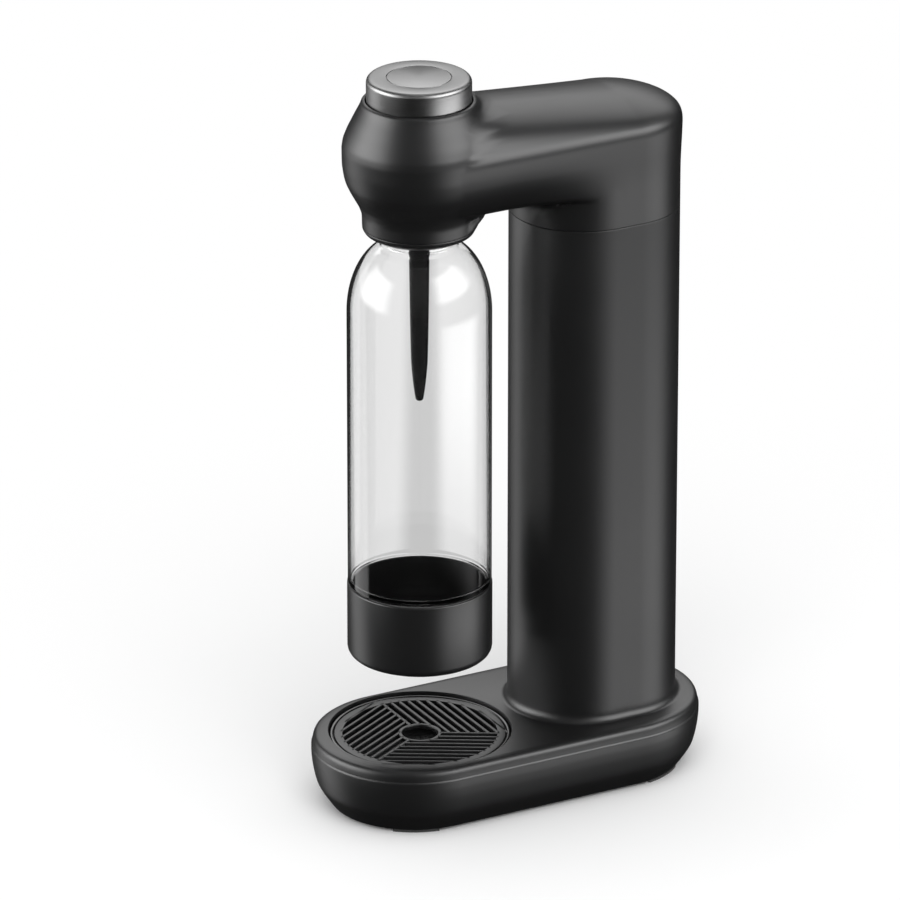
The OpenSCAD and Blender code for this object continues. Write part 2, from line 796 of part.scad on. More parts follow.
module neck_seal() {
    color(rubber) translate([0, bottle_y, neck_top_z + seat_gap]) difference() {
        cylinder(r = socket_bore_r - seat_gap, h = seal_t);
        translate([0, 0, -over]) cylinder(r = seal_in_r, h = seal_t + 2 * over);
    }
}

module nozzle() {
    length = nozzle_flange_z - nozzle_tip_z;
    color(gloss_black) translate([0, bottle_y, 0]) difference() {
        rotate_extrude()
            polygon(concat([[0, nozzle_tip_z]],
                [for (p = nozzle_shares) [nozzle_r * p[1], nozzle_tip_z + length * p[0]]],
                [[nozzle_flange_r, nozzle_flange_z], [nozzle_flange_r, nozzle_flange_z + nozzle_flange_h],
                [0, nozzle_flange_z + nozzle_flange_h]]));
        translate([0, 0, nozzle_tip_z - over])
            cylinder(r = nozzle_bore_d / 2, h = length + nozzle_flange_h + 2 * over, $fn = 32);
    }
}

module nozzle_seal() {
    color(rubber) translate([0, bottle_y, nozzle_pocket_z + ring_r + slide_gap])
        rotate_extrude() translate([nozzle_r + ring_r + slide_gap, 0]) circle(r = ring_r, $fn = 24);
}

module valve_block() {
    color(brass) translate([0, column_back, 0]) difference() {
        union() {
            translate([0, 0, block_z]) cylinder(r = block_r, h = block_top_z - block_z);
            translate([-block_flange_w / 2, -block_flange_len / 2, block_z])
                cube([block_flange_w, block_flange_len, block_flange_t]);
        }
        translate([0, 0, block_z - over])
            cylinder(r = valve_collar_r + cyl_gap, h = valve_top_z - valve_thread_h - block_z + over + cyl_gap);
        translate([0, 0, block_z])
            cylinder(r = valve_thread_r + thread_gap, h = block_ceiling_z - block_z);
        translate([0, 0, block_ceiling_z - over])
            cylinder(r = pin_r + run_gap, h = block_top_z - block_ceiling_z + 2 * over, $fn = 48);
        translate([tube_x, tube_rear_y - column_back, block_top_z - tube_seat])
            cylinder(r = tube_r, h = tube_seat + over, $fn = 32);
        translate([tube_x, -tube_rear_in, block_ceiling_z - seal_t])
            cylinder(r = gasway_r, h = block_top_z - block_ceiling_z + seal_t, $fn = 32);
        translate([0, 0, block_ceiling_z - seal_t / 2])
            rotate([0, 90, atan2(-tube_rear_in, tube_x)])
                cylinder(r = gasway_r, h = norm([tube_x, tube_rear_in]), $fn = 32);
        translate([0, -block_r - over, relief_z]) rotate([-90, 0, 0])
            cylinder(r = relief_stem_r, h = block_r - valve_thread_r + over, $fn = 32);
        for (sy = [-1, 1])
            translate([0, sy * block_screw_y, block_z - over])
                cylinder(r = screw_r, h = block_flange_t + 2 * over, $fn = 32);
    }
}

module block_screws() {
    color(zinc) at_block_screws()
        translate([0, 0, block_z + block_flange_t]) rotate([180, 0, 0])
            screw(screw_r, chassis_t + block_flange_t, screw_head_r, screw_head_h);
}

module adapter_seal() {
    color(rubber) translate([0, column_back, valve_top_z + seat_gap]) difference() {
        cylinder(r = adapter_seal_r, h = seal_t);
        translate([0, 0, -over]) cylinder(r = adapter_seal_in_r, h = seal_t + 2 * over);
    }
}

module relief_valve() {
    color(brass) translate([0, column_back, relief_z]) rotate([90, 0, 0]) {
        translate([0, 0, block_r + seat_gap]) cylinder(r = relief_r, h = relief_len, $fn = 48);
        translate([0, 0, valve_thread_r + over])
            cylinder(r = relief_stem_r, h = block_r - valve_thread_r, $fn = 32);
    }
}

module vent_valve() {
    color(brass) translate([vent_x, vent_y, 0]) {
        translate([0, 0, beam_z + chassis_t]) cylinder(r = vent_r, h = vent_h, $fn = 48);
        translate([0, 0, socket_ceiling_z])
            cylinder(r = vent_stem_r, h = beam_z + chassis_t - socket_ceiling_z, $fn = 32);
    }
}

// The gas tube rises from the block, runs forward beside the lever and drops to the socket
module gas_tube() {
    rear_low = block_top_z - tube_seat;
    front_low = socket_top_z - tube_seat;
    color(zinc) translate([tube_x, 0, 0]) {
        translate([0, tube_rear_y, rear_low])
            cylinder(r = tube_r, h = tube_z - tube_bend_r - rear_low, $fn = 32);
        translate([0, tube_rear_y - tube_bend_r, tube_z - tube_bend_r]) rotate([90, 0, 90])
            rotate_extrude(angle = 90) translate([tube_bend_r, 0]) circle(r = tube_r, $fn = 32);
        translate([0, tube_rear_y - tube_bend_r, tube_z]) rotate([90, 0, 0])
            cylinder(r = tube_r, h = tube_rear_y - tube_front_y - 2 * tube_bend_r, $fn = 32);
        translate([0, tube_front_y + tube_bend_r, tube_z - tube_bend_r]) rotate([90, -90, 90])
            rotate_extrude(angle = 90) translate([tube_bend_r, 0]) circle(r = tube_r, $fn = 32);
        translate([0, tube_front_y, front_low])
            cylinder(r = tube_r, h = tube_z - tube_bend_r - front_low, $fn = 32);
    }
}

module tube_nuts() {
    color(brass)
    for (p = [[tube_rear_y, block_top_z], [tube_front_y, beam_z + chassis_t]])
        translate([tube_x, p[0], p[1]]) difference() {
            cylinder(r = nut_r, h = nut_h, $fn = 6);
            translate([0, 0, -over]) cylinder(r = tube_r + slide_gap, h = nut_h + 2 * over, $fn = 32);
        }
}

module button_guide() {
    color(grey_plastic) translate([0, bottle_y, guide_plate_z]) difference() {
        cylinder(r = guide_plate_r, h = guide_plate_t);
        translate([0, 0, -over])
            cylinder(r = plunger_r + slide_gap, h = guide_plate_t + 2 * over);
        translate([0, -bottle_y, -over]) at_guide_screws()
            cylinder(r = guide_screw_r, h = guide_plate_t + 2 * over, $fn = 32);
    }
}

module guide_screws() {
    color(zinc) at_guide_screws()
        translate([0, 0, guide_plate_z])
            screw(guide_screw_r, guide_plate_t + guide_screw_depth - seat_gap, guide_screw_head_r,
                screw_head_h);
}

module pivot_pin() {
    half = chassis_wall_x + chassis_t + bury;
    color(steel) translate([-half, pivot_y, lever_mid_z]) rotate([0, 90, 0])
        cylinder(r = pivot_r, h = 2 * half);
}

module pivot_spacers() {
    inner_x = lever_w / 2 + seat_gap;
    color(grey_plastic)
    for (x = [inner_x, -chassis_wall_x + slide_gap])
        translate([x, pivot_y, lever_mid_z]) rotate([0, 90, 0]) difference() {
            cylinder(r = spacer_r, h = chassis_wall_x - inner_x - slide_gap);
            translate([0, 0, -over]) cylinder(r = pivot_r, h = chassis_wall_x + 2 * over);
        }
}

module button_cap() {
    under_z = button_top_z - cap_wall - inlay_t;
    color(steel) translate([0, bottle_y, 0]) rotate_extrude()
        polygon(concat(
            [[0, under_z], [0, button_top_z - inlay_t], [inlay_d / 2 + inlay_gap, button_top_z - inlay_t],
            [inlay_d / 2 + inlay_gap, button_top_z]],
            [for (t = [90 : -15 : 0]) [button_r - cap_edge_r * (1 - cos(t)),
                button_top_z - cap_edge_r * (1 - sin(t))]],
            [[button_r, lip_z - skirt_in], [button_r - cap_wall, lip_z - skirt_in],
            [button_r - cap_wall, under_z]]));
}

module button_inlay() {
    color(steel) translate([0, bottle_y, button_top_z - inlay_t])
        cylinder(r = inlay_d / 2, h = inlay_t);
}

module button_plunger() {
    under_z = button_top_z - cap_wall - inlay_t;
    color(grey_plastic) translate([0, bottle_y, 0]) difference() {
        union() {
            translate([0, 0, under_z - plunger_disc_t])
                cylinder(r = button_r - cap_wall - slide_gap, h = plunger_disc_t);
            translate([0, 0, plunger_z]) cylinder(r = plunger_r, h = under_z - plunger_z);
        }
        translate([0, 0, plunger_z + plunger_disc_t])
            cylinder(r = plunger_in_r, h = under_z - plunger_z);
    }
}

// Middle of the spring's wire after a share t of its turns
function spring_at(t) = [spring_r * cos(360 * spring_turns * t), spring_r * sin(360 * spring_turns * t),
    mix(spring_low_z + spring_wire / 2, spring_top_z - spring_wire / 2, t)];

function spring_ring(t) = let (c = spring_at(t), a = 360 * spring_turns * t)
    [for (k = [0 : spring_sides - 1]) let (b = 360 * k / spring_sides)
        c + spring_wire / 2 * [cos(b) * cos(a), cos(b) * sin(a), sin(b)]];

module button_spring() {
    count = spring_turns * spring_steps;
    rings = [for (i = [0 : count]) spring_ring(i / count)];
    gap = min([for (i = [0 : count - spring_steps])
        norm(spring_at((i + spring_steps) / count) - spring_at(i / count))]) - spring_wire;
    echo("least gap between the spring's turns", gap);
    color(zinc) translate([0, bottle_y, 0])
        polyhedron(points = [for (r = rings) each r], faces = tube_faces(count + 1, spring_sides),
            convexity = 10);
}

// Faces of a tube made of rings with n points each, its ends closed
function tube_faces(rings, n) = concat(
    [[for (j = [0 : n - 1]) j]],
    [for (i = [0 : rings - 2], j = [0 : n - 1]) [i * n + j, (i + 1) * n + (j + 1) % n, i * n + (j + 1) % n]],
    [for (i = [0 : rings - 2], j = [0 : n - 1]) [i * n + j, (i + 1) * n + j, (i + 1) * n + (j + 1) % n]],
    [[for (j = [n - 1 : -1 : 0]) (rings - 1) * n + j]]);

module lever() {
    front_y = bottle_y - lever_front;
    color(steel) difference() {
        union() {
            translate([-lever_w / 2, front_y, lever_z]) cube([lever_w, pivot_y - front_y, lever_t]);
            translate([-lever_w / 2, bottle_y, pad_z]) rotate([0, 90, 0])
                cylinder(r = pad_r, h = lever_w, $fn = 48);
            translate([-lever_w / 2, pivot_y, lever_mid_z]) rotate([0, 90, 0])
                cylinder(r = hub_r, h = lever_w);
        }
        translate([-lever_w / 2 - over, pivot_y, lever_mid_z]) rotate([0, 90, 0])
            cylinder(r = pivot_r + run_gap, h = lever_w + 2 * over);
        translate([0, column_back, lever_z - over])
            cylinder(r = adjust_r, h = lever_t + 2 * over, $fn = 32);
    }
}

module adjust_screw() {
    tip_z = pin_top_z + seat_gap;
    color(zinc) translate([0, column_back, 0]) {
        translate([0, 0, tip_z]) cylinder(r = adjust_r, h = lever_z + lever_t - tip_z, $fn = 32);
        translate([0, 0, lever_z + lever_t]) cylinder(r = adjust_head_r, h = adjust_head_h, $fn = 6);
    }
}

module push_pin() {
    color(steel) translate([0, column_back, 0]) {
        translate([0, 0, pin_low_z]) cylinder(r = pin_r, h = pin_top_z - pin_low_z, $fn = 48);
        translate([0, 0, pin_top_z - pin_head_h]) cylinder(r = pin_head_r, h = pin_head_h, $fn = 48);
    }
}

// Side of the gas cylinder from its foot ring to its neck, drawn in by the given inset
function cylinder_side(inset) = concat(
    [[cyl_r - inset, cyl_z + cyl_edge + 2 * inset]],
    [for (t = [0 : 15 : 90]) [mix(cyl_neck_r, cyl_r, cos(t)) - inset,
        cyl_dome_z + (cyl_dome_h - inset) * sin(t)]]);

module gas_cylinder() {
    color(steel) translate([0, column_back, 0]) difference() {
        rotate_extrude() polygon(concat(
            [[0, cyl_z + 2 * cyl_edge], [cyl_foot_r - 2 * cyl_edge, cyl_z + cyl_edge], [cyl_foot_r - cyl_edge, cyl_z],
            [cyl_foot_r, cyl_z]], cylinder_side(0), [[cyl_neck_r, valve_collar_z], [0, valve_collar_z]]));
        rotate_extrude() polygon(concat(
            [[0, cyl_z + 2 * cyl_edge + cyl_wall], [cyl_foot_r - cyl_edge, cyl_z + 2 * cyl_edge + cyl_wall]],
            cylinder_side(cyl_wall), [[0, cyl_neck_z - cyl_wall]]));
        translate([0, 0, cyl_neck_z - cyl_wall - over])
            cylinder(r = cyl_neck_bore_r, h = cyl_neck_h + cyl_wall + 2 * over);
    }
}

module cylinder_valve() {
    color(brass) translate([0, column_back, 0]) difference() {
        union() {
            translate([0, 0, cyl_neck_z]) cylinder(r = cyl_neck_bore_r, h = cyl_neck_h);
            translate([0, 0, valve_collar_z]) cylinder(r = valve_collar_r, h = valve_collar_h);
            translate([0, 0, valve_collar_z]) cylinder(r = valve_thread_r, h = valve_top_z - valve_collar_z);
        }
        translate([0, 0, valve_top_z - stem_len - over])
            cylinder(r = stem_r + run_gap, h = stem_len + 2 * over, $fn = 48);
        translate([0, 0, cyl_neck_z - over])
            cylinder(r = gasway_r, h = valve_top_z - cyl_neck_z, $fn = 32);
    }
}

module valve_stem() {
    color(steel) translate([0, column_back, valve_top_z + stem_proud - stem_len])
        cylinder(r = stem_r, h = stem_len, $fn = 48);
}

// Curve of the bottle's shoulder from its side to its neck, drawn in by the given inset
function shoulder_points(inset) = [for (t = [0 : 7.5 : shoulder_end])
    [shoulder_flat_r + (bottle_r - shoulder_flat_r - inset) * cos(t), shoulder_z + (shoulder_h - inset) * sin(t)]];

// The pushed-up foot out to a given radius, its centre at a given height
function dome_points(r, z, h) = [for (p = dome_shares) [r * p[0], z + h * p[1]]];

module bottle_body() {
    foot_z = bottle_z + boot_floor_t + seat_gap;
    inner_r = bottle_foot_r - bottle_wall;
    color(clear_plastic) translate([0, bottle_y, 0]) rotate_extrude()
        polygon(concat(
            dome_points(bottle_foot_r, foot_z, dome_h),
            [[bottle_foot_r - bottle_edge, foot_z], [bottle_foot_r, foot_z + bottle_edge],
            [bottle_foot_r, boot_top_z + seat_gap - bottle_edge / 2], [bottle_r, boot_top_z + seat_gap]],
            shoulder_points(0), [[neck_r, neck_base_z], [neck_r, neck_top_z],
            [neck_r - neck_wall, neck_top_z], [neck_r - neck_wall, neck_base_z]],
            [for (i = [len(shoulder_points(bottle_wall)) - 1 : -1 : 0]) shoulder_points(bottle_wall)[i]],
            [[bottle_in_r, boot_top_z + 4 * bottle_edge], [inner_r, boot_top_z + bottle_edge],
            [inner_r, foot_z + bottle_wall + bottle_edge], [inner_r - bottle_edge, foot_z + bottle_wall]],
            [for (i = [len(dome_shares) - 1 : -1 : 0])
                dome_points(inner_r, foot_z + bottle_wall, dome_h)[i]]));
    color(clear_plastic) translate([0, bottle_y, neck_top_z - lug_drop])
        for (k = [0 : lug_count - 1])
            rotate([0, 0, k * 360 / lug_count]) rotate_extrude(angle = lug_span)
                translate([neck_r - bury, 0]) square([lug_out + bury, lug_h]);
}

module bottle_boot() {
    color(satin_black) translate([0, bottle_y, 0]) rotate_extrude()
        polygon(concat(
            dome_points(boot_in_r, bottle_z, dome_h),
            [for (t = [0 : 15 : 90]) [boot_r - boot_edge_r * (1 - sin(t)), bottle_z + boot_edge_r * (1 - cos(t))]],
            [[boot_r, boot_top_z], [boot_in_r, boot_top_z],
            [boot_in_r, bottle_z + boot_floor_t + bottle_edge], [boot_in_r - bottle_edge, bottle_z + boot_floor_t]],
            [for (i = [len(dome_shares) - 1 : -1 : 0])
                dome_points(boot_in_r, bottle_z + boot_floor_t, dome_h)[i]]));
}

module drip_tray() {
    bowl_r = grille_r + seat_gap - tray_ledge_w;
    lip_round = tray_lip_w / 2;
    color(gloss_black) translate([0, bottle_y, 0]) rotate_extrude()
        polygon(concat(
            [[0, tray_z], [tray_r - tray_wall, tray_z], [tray_r, tray_z + tray_wall]],
            [for (t = [0 : 30 : 180]) [tray_r - lip_round + lip_round * cos(t),
                tray_top_z - lip_round + lip_round * sin(t)]],
            [[tray_r - tray_lip_w, ledge_z], [bowl_r, ledge_z], [bowl_r, tray_z + 2 * tray_wall],
            [bowl_r - tray_wall, tray_z + tray_wall], [0, tray_z + tray_wall]]));
}

// The slots of one third of the grille, parallel to the spoke that lies along +X
module slot_sector() {
    reach = 2 * slot_field_r;
    corner = spoke_w / 2 / sin(60);
    intersection() {
        translate([corner * cos(60), -corner * sin(60)])
            polygon([[0, 0], [reach, 0], [reach * 2 * cos(60), -reach * 2 * sin(60)],
                [-reach * cos(60), -reach * sin(60)]]);
        difference() {
            circle(r = slot_field_r);
            circle(r = finger_r + finger_rim);
        }
        for (k = [0 : slot_count - 1])
            translate([-reach, -spoke_w / 2 - k * slot_pitch - (slot_pitch - bar_w)])
                square([2 * reach, slot_pitch - bar_w]);
    }
}

module drip_grille() {
    color(satin_black) translate([0, bottle_y, grille_z]) difference() {
        cylinder(r = grille_r, h = grille_t);
        translate([0, 0, -over]) cylinder(r = finger_r, h = grille_t + 2 * over);
        for (k = [0 : 2])
            rotate([0, 0, first_spoke - 120 * k]) translate([0, 0, -over])
                linear_extrude(height = grille_t + 2 * over) slot_sector();
    }
}

base_shell();
base_plate();
feet();
base_screws();
column_shell();
column_screws();
guide_rings();
chassis();
chassis_screws();
head_housing();
head_screws();
collar_ring();
bottle_socket();
socket_screws();
neck_seal();
nozzle();
nozzle_seal();
valve_block();
block_screws();
adapter_seal();
relief_valve();
vent_valve();
gas_tube();
tube_nuts();
button_guide();
guide_screws();
pivot_pin();
pivot_spacers();
button_cap();
button_inlay();
button_plunger();
button_spring();
lever();
adjust_screw();
push_pin();
gas_cylinder();
cylinder_valve();
valve_stem();
bottle_body();
bottle_boot();
drip_tray();
drip_grille();
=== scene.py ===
import json
import math

import bmesh
import bpy
import numpy as np
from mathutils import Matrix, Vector


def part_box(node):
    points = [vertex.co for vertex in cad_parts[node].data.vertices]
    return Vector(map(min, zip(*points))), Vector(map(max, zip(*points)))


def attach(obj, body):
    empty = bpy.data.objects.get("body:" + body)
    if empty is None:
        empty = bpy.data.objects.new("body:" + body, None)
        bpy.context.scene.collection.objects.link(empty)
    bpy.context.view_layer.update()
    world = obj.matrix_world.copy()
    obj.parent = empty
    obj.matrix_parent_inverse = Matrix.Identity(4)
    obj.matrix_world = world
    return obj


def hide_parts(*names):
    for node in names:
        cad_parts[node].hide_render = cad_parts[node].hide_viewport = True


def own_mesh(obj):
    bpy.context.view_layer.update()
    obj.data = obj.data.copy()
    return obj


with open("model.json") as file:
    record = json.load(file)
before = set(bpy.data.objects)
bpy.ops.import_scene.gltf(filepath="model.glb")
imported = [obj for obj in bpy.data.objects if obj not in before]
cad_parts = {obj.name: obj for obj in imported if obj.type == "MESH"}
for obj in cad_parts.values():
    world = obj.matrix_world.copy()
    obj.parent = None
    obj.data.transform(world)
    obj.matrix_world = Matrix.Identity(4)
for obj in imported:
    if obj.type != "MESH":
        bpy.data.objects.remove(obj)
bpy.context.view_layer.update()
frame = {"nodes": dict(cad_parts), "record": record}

# The sparkling water maker's looks. Sizes in this script are millimetres, and meshes are metres.
MM = 0.001


def millimetre_box(node):
    """Lowest and highest corner of a CAD node, in millimetres."""
    low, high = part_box(node)
    return Vector(low) / MM, Vector(high) / MM


# Places read from the frame
boot_low, boot_high = millimetre_box("bottle_boot")
column_low, column_high = millimetre_box("column_shell")
BOTTLE_Y = (boot_low.y + boot_high.y) / 2
COLUMN_Y = (column_low.y + column_high.y) / 2
BASE_TOP = millimetre_box("base_shell")[1].z
SEAM_Z = column_high.z
CAP_TOP = millimetre_box("button_cap")[1].z

# Column
COLUMN_R = 40.6
COLUMN_HALF = 7.85
COLUMN_WALL = 2.6
FLARE_OUT = 3.7
FLARE_H = 5.5

# Base
BASE_R = 57.5
BASE_HALF = 58.8
BASE_WALL = 2.6
FOOT_LIFT = 1.7
WELL_R = 51.3
WELL_DEPTH = 18
BASE_SHARES = [(0.821, 0), (0.869, 0.1), (0.914, 0.2), (0.950, 0.3), (0.976, 0.45), (0.993, 0.6),
               (1, 0.74), (1, 0.816)]
SHOULDER_SHARES = [(0.9985, 0.822), (0.991, 0.834), (0.989, 0.86), (0.984, 0.91), (0.972, 0.955), (0.945, 0.985),
                   (0.9, 1)]

# Head
HEAD_R = 42.3
REAR_R = 41.6
REAR_Y = COLUMN_Y + COLUMN_HALF
HEAD_WALL = 2.8
SEAM_GAP = 0.4
BULB_Z = SEAM_Z + 8
ARCH_Z = SEAM_Z + 16
RIDGE_Z = SEAM_Z + 53
LIP_Z = SEAM_Z + 80.3
LIP_R = 31.3
BULB_LOW_R = 31.3
BUTTON_HOLE_R = 29.7
NECK_TAPER = 0.08
ARM_RISE_FRONT = 25.2
ARM_RISE_REAR = 14.8
# How softly the head's forms run into each other
LIP_SOFT = 1.6
RIDGE_SOFT = 2.4
TOP_FILLET = 36
ARCH_FILLET = 14
STUB_FILLET = 12
# Share of the top fillet that is reached below the ridge, and that is left at the button's lip
RIDGE_SHARE = 0.55
CROWN_SHARE = 0.4
# Heights at which the head's skin is cut open, and the steps of its outer and inner grid
LIP_CUT = LIP_Z - 0.05
SEAM_CUT = SEAM_Z + SEAM_GAP
OUTER_STEP = 1.3
INNER_STEP = 2.0
RELAX_ROUNDS = 6
# Share of the height from the bulb's lower edge to the ridge, and of its swell
BULB_LOW_SHARES = [(0, 0), (0.13, 0.015), (0.26, 0.17), (0.37, 0.41), (0.48, 0.65), (0.59, 0.84),
                   (0.7, 0.935), (0.82, 0.99), (1, 1)]
# Share of the height from the ridge to the lip, and of the swell that is left
BULB_TOP_SHARES = [(0, 1), (0.14, 0.945), (0.25, 0.85), (0.36, 0.74), (0.5, 0.57), (0.64, 0.4),
                   (0.78, 0.22), (0.9, 0.08), (1, 0)]
# Share of the height from arch to ridge, then share of the half width at bulb and column
ARM_LOW_SHARES = [(0, 0.6, 0.974), (0.03, 0.67, 0.975), (0.1, 0.75, 0.976), (0.2, 0.82, 0.977),
                  (0.33, 0.887, 0.98), (0.48, 0.945, 0.985), (0.63, 0.979, 0.991), (0.8, 0.995, 0.996),
                  (1, 1, 1)]
# Share of the half width, then share of the rise at bulb and column
ARM_TOP_SHARES = [(0, 1, 1), (0.12, 0.991, 0.989), (0.24, 0.963, 0.955), (0.36, 0.911, 0.899),
                  (0.45, 0.862, 0.843), (0.52, 0.817, 0.79), (0.6, 0.752, 0.721), (0.67, 0.684, 0.652),
                  (0.735, 0.606, 0.579), (0.8, 0.504, 0.495), (0.86, 0.375, 0.4), (0.91, 0.242, 0.296),
                  (0.95, 0.128, 0.188), (0.98, 0.048, 0.083), (1, 0, 0)]

# Bottle and its boot
BOTTLE_R = 40
BOTTLE_WALL = 2
NECK_R = 20
NECK_WALL = 2.2
NECK_TOP = SEAM_Z + 15
SHOULDER_Z = SEAM_Z - 43
SHOULDER_H = 41
SHOULDER_FLAT_R = 14
BOOT_R = 40.4
BOOT_WALL = 2.2
BOOT_TOP = boot_high.z
BOOT_LOW = boot_low.z
BOOT_FLOOR = 2.4
DOME_H = 15

# Nozzle
NOZZLE_R = 5.95
NOZZLE_TIP = SEAM_Z - 95.4
NOZZLE_ROOT = SEAM_Z + 22.5

# Button
BUTTON_R = 28.9
CAP_WALL = 1.4
CAP_EDGE = 3
SKIRT_Z = LIP_Z - 11
INLAY_R = 17.6
INLAY_GAP = 0.25
INLAY_T = 0.8

# Drip tray and grille
TRAY_R = 50.8
TRAY_WALL = 1.8
TRAY_LOW = BASE_TOP - WELL_DEPTH + 0.3
TRAY_TOP = BASE_TOP - 1.7
TRAY_LIP = 2.4
GRILLE_R = 48.1
GRILLE_TOP = TRAY_TOP - 0.3
GRILLE_T = 2.6
SLOT_FIELD_R = 43.5
FINGER_R = 10.1
FINGER_RIM = 2
SPOKE_W = 2
SLOT_PITCH = 4.8
BAR_W = 1.7
FIRST_SPOKE = 60

# Small parts
SPRING_R = 14
SPRING_WIRE = 1.6
SPRING_TURNS = 6
# Faces round a turned piece, and round the column and the base
ROUND_STEPS = 160
FINE_STEPS = 192
# Angles past which an edge stays sharp, in degrees
SHARP = 35
BASE_SHARP = 30


# Curves

def interpolate(points, count):
    """A smooth curve with the given number of points through the listed ones, without overshoot."""
    pts = np.array(points, float)
    step = np.hypot(*np.diff(pts, axis=0).T)
    at = np.concatenate([[0], np.cumsum(step)])
    along = np.linspace(0, at[-1], count)
    return np.stack([monotone(at, pts[:, k], along) for k in range(2)], 1)


def monotone(x, y, at):
    """Cubic interpolation that keeps the run of the values."""
    h, d = np.diff(x), np.diff(y) / np.diff(x)
    m = np.zeros(len(x))
    m[0], m[-1] = d[0], d[-1]
    same = d[:-1] * d[1:] > 0
    w1, w2 = 2 * h[1:] + h[:-1], h[1:] + 2 * h[:-1]
    safe = np.where(same, d[:-1], 1), np.where(same, d[1:], 1)
    m[1:-1] = np.where(same, (w1 + w2) / (w1 / safe[0] + w2 / safe[1]), 0)
    i = np.clip(np.searchsorted(x, at, side="right") - 1, 0, len(h) - 1)
    t = (at - x[i]) / h[i]
    return ((2 * t**3 - 3 * t**2 + 1) * y[i] + (t**3 - 2 * t**2 + t) * h[i] * m[i]
            + (3 * t**2 - 2 * t**3) * y[i + 1] + (t**3 - t**2) * h[i] * m[i + 1])


def filleted(corners, steps=5):
    """An open outline through corners of (radius, height, fillet), each corner rounded by its fillet."""
    pts = [Vector(c[:2]) for c in corners]
    out = []
    for i, (p, corner) in enumerate(zip(pts, corners)):
        fillet = corner[2] if len(corner) > 2 else 0
        if fillet == 0 or i in (0, len(pts) - 1):
            out.append(tuple(p))
            continue
        a, b = (pts[i - 1] - p).normalized(), (pts[i + 1] - p).normalized()
        half = a.angle(b) / 2
        reach = fillet / math.tan(half)
        centre = p + (a + b).normalized() * fillet / math.sin(half)
        start, end = p + a * reach - centre, p + b * reach - centre
        turn = start.angle_signed(end)
        for k in range(steps + 1):
            share = turn * k / steps
            out.append(tuple(centre + Vector((start.x * math.cos(share) + start.y * math.sin(share),
                                              start.y * math.cos(share) - start.x * math.sin(share)))))
    return out


def ellipse_points(centre, radii, start, end, steps):
    """Points of an ellipse's arc, its angles in degrees."""
    angles = np.radians(np.linspace(start, end, steps + 1))
    return [(centre[0] + radii[0] * math.cos(a), centre[1] + radii[1] * math.sin(a)) for a in angles]


# Meshes

def linked(name, data):
    """A new object of the scene, at the origin."""
    obj = bpy.data.objects.new(name, data)
    bpy.context.scene.collection.objects.link(obj)
    return obj


def make_object(name, verts, faces, sharp=SHARP):
    """A mesh object in metres from points in millimetres, with its faces pointing outwards."""
    mesh = bpy.data.meshes.new(name)
    mesh.from_pydata([tuple(v * MM for v in p) for p in verts], [], faces)
    bm = bmesh.new()
    bm.from_mesh(mesh)
    bmesh.ops.remove_doubles(bm, verts=bm.verts, dist=0.002 * MM)
    bmesh.ops.dissolve_degenerate(bm, edges=bm.edges, dist=0.001 * MM)
    bmesh.ops.recalc_face_normals(bm, faces=bm.faces)
    return finish_object(name, bm, mesh, sharp)


def finish_object(name, bm, mesh, sharp):
    """The object of an edited mesh, its faces turned outwards and its sharp edges marked."""
    if bm.calc_volume(signed=True) < 0:
        bmesh.ops.reverse_faces(bm, faces=bm.faces)
    bm.to_mesh(mesh)
    bm.free()
    mesh.shade_smooth()
    mesh.set_sharp_from_angle(angle=math.radians(sharp))
    return linked(name, mesh)


def stadium_ring(r, half, z, centre_y, steps):
    """A ring round a stadium, or round a circle where half is zero."""
    ring = []
    for end in (1, -1):
        for k in range(steps // 2 + 1):
            a = math.pi * k / (steps // 2) + (0 if end > 0 else math.pi)
            ring.append((r * math.cos(a), centre_y + end * half + r * math.sin(a), z))
    return ring


def skin(rings, closed=False):
    """Faces between rings of equal length, with the two ends filled unless the rings close."""
    n = len(rings[0])
    verts = [p for ring in rings for p in ring]
    count = len(rings)
    faces = [(i * n + j, i * n + (j + 1) % n, (i + 1) % count * n + (j + 1) % n, (i + 1) % count * n + j)
             for i in range(count if closed else count - 1) for j in range(n)]
    if not closed:
        faces.append(tuple(reversed(range(n))))
        faces.append(tuple((count - 1) * n + j for j in range(n)))
    return verts, faces


def turned(name, outline, centre_y=BOTTLE_Y, half=0, steps=ROUND_STEPS, closed=True, sharp=SHARP):
    """A piece with the given outline of (radius, height), turned round a circle or a stadium."""
    rings = [stadium_ring(max(r, 0.0001), half, z, centre_y, steps) for r, z in outline]
    verts, faces = skin(rings, closed)
    return make_object(name, verts, faces, sharp)


def joined(name, pieces):
    """One object from several meshes, the parts removed."""
    bm = bmesh.new()
    for piece in pieces:
        bm.from_mesh(piece.data)
    mesh = bpy.data.meshes.new(name)
    bm.to_mesh(mesh)
    bm.free()
    marked = any(e.use_edge_sharp for e in mesh.edges)
    obj = linked(name, mesh)
    for piece in pieces:
        bpy.data.objects.remove(piece)
    mesh.shade_smooth()
    if not marked:
        mesh.set_sharp_from_angle(angle=math.radians(SHARP))
    return obj


def place(obj, body, slot, node, material=None):
    """Gives a piece its body and its material, the slot's own unless one is given, and hides the CAD node it stands
    for.
    """
    obj.data.materials.clear()
    obj.data.materials.append(material or materials[slot])
    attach(obj, body)
    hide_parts(node)


# Shader groups

def add_node(tree, kind, **inputs):
    """A node with its named inputs set, or linked where a socket is given."""
    node = tree.nodes.new(kind)
    for name, value in inputs.items():
        socket = node.inputs[name.replace("_", " ")] if not name.startswith("in") or not name[2:].isdigit() \
            else node.inputs[int(name[2:])]
        if isinstance(value, bpy.types.NodeSocket):
            tree.links.new(value, socket)
        else:
            socket.default_value = value
    return node


def math_node(tree, operation, a, b=0.0):
    node = add_node(tree, "ShaderNodeMath", in0=a, in1=b)
    node.operation = operation
    return node.outputs[0]


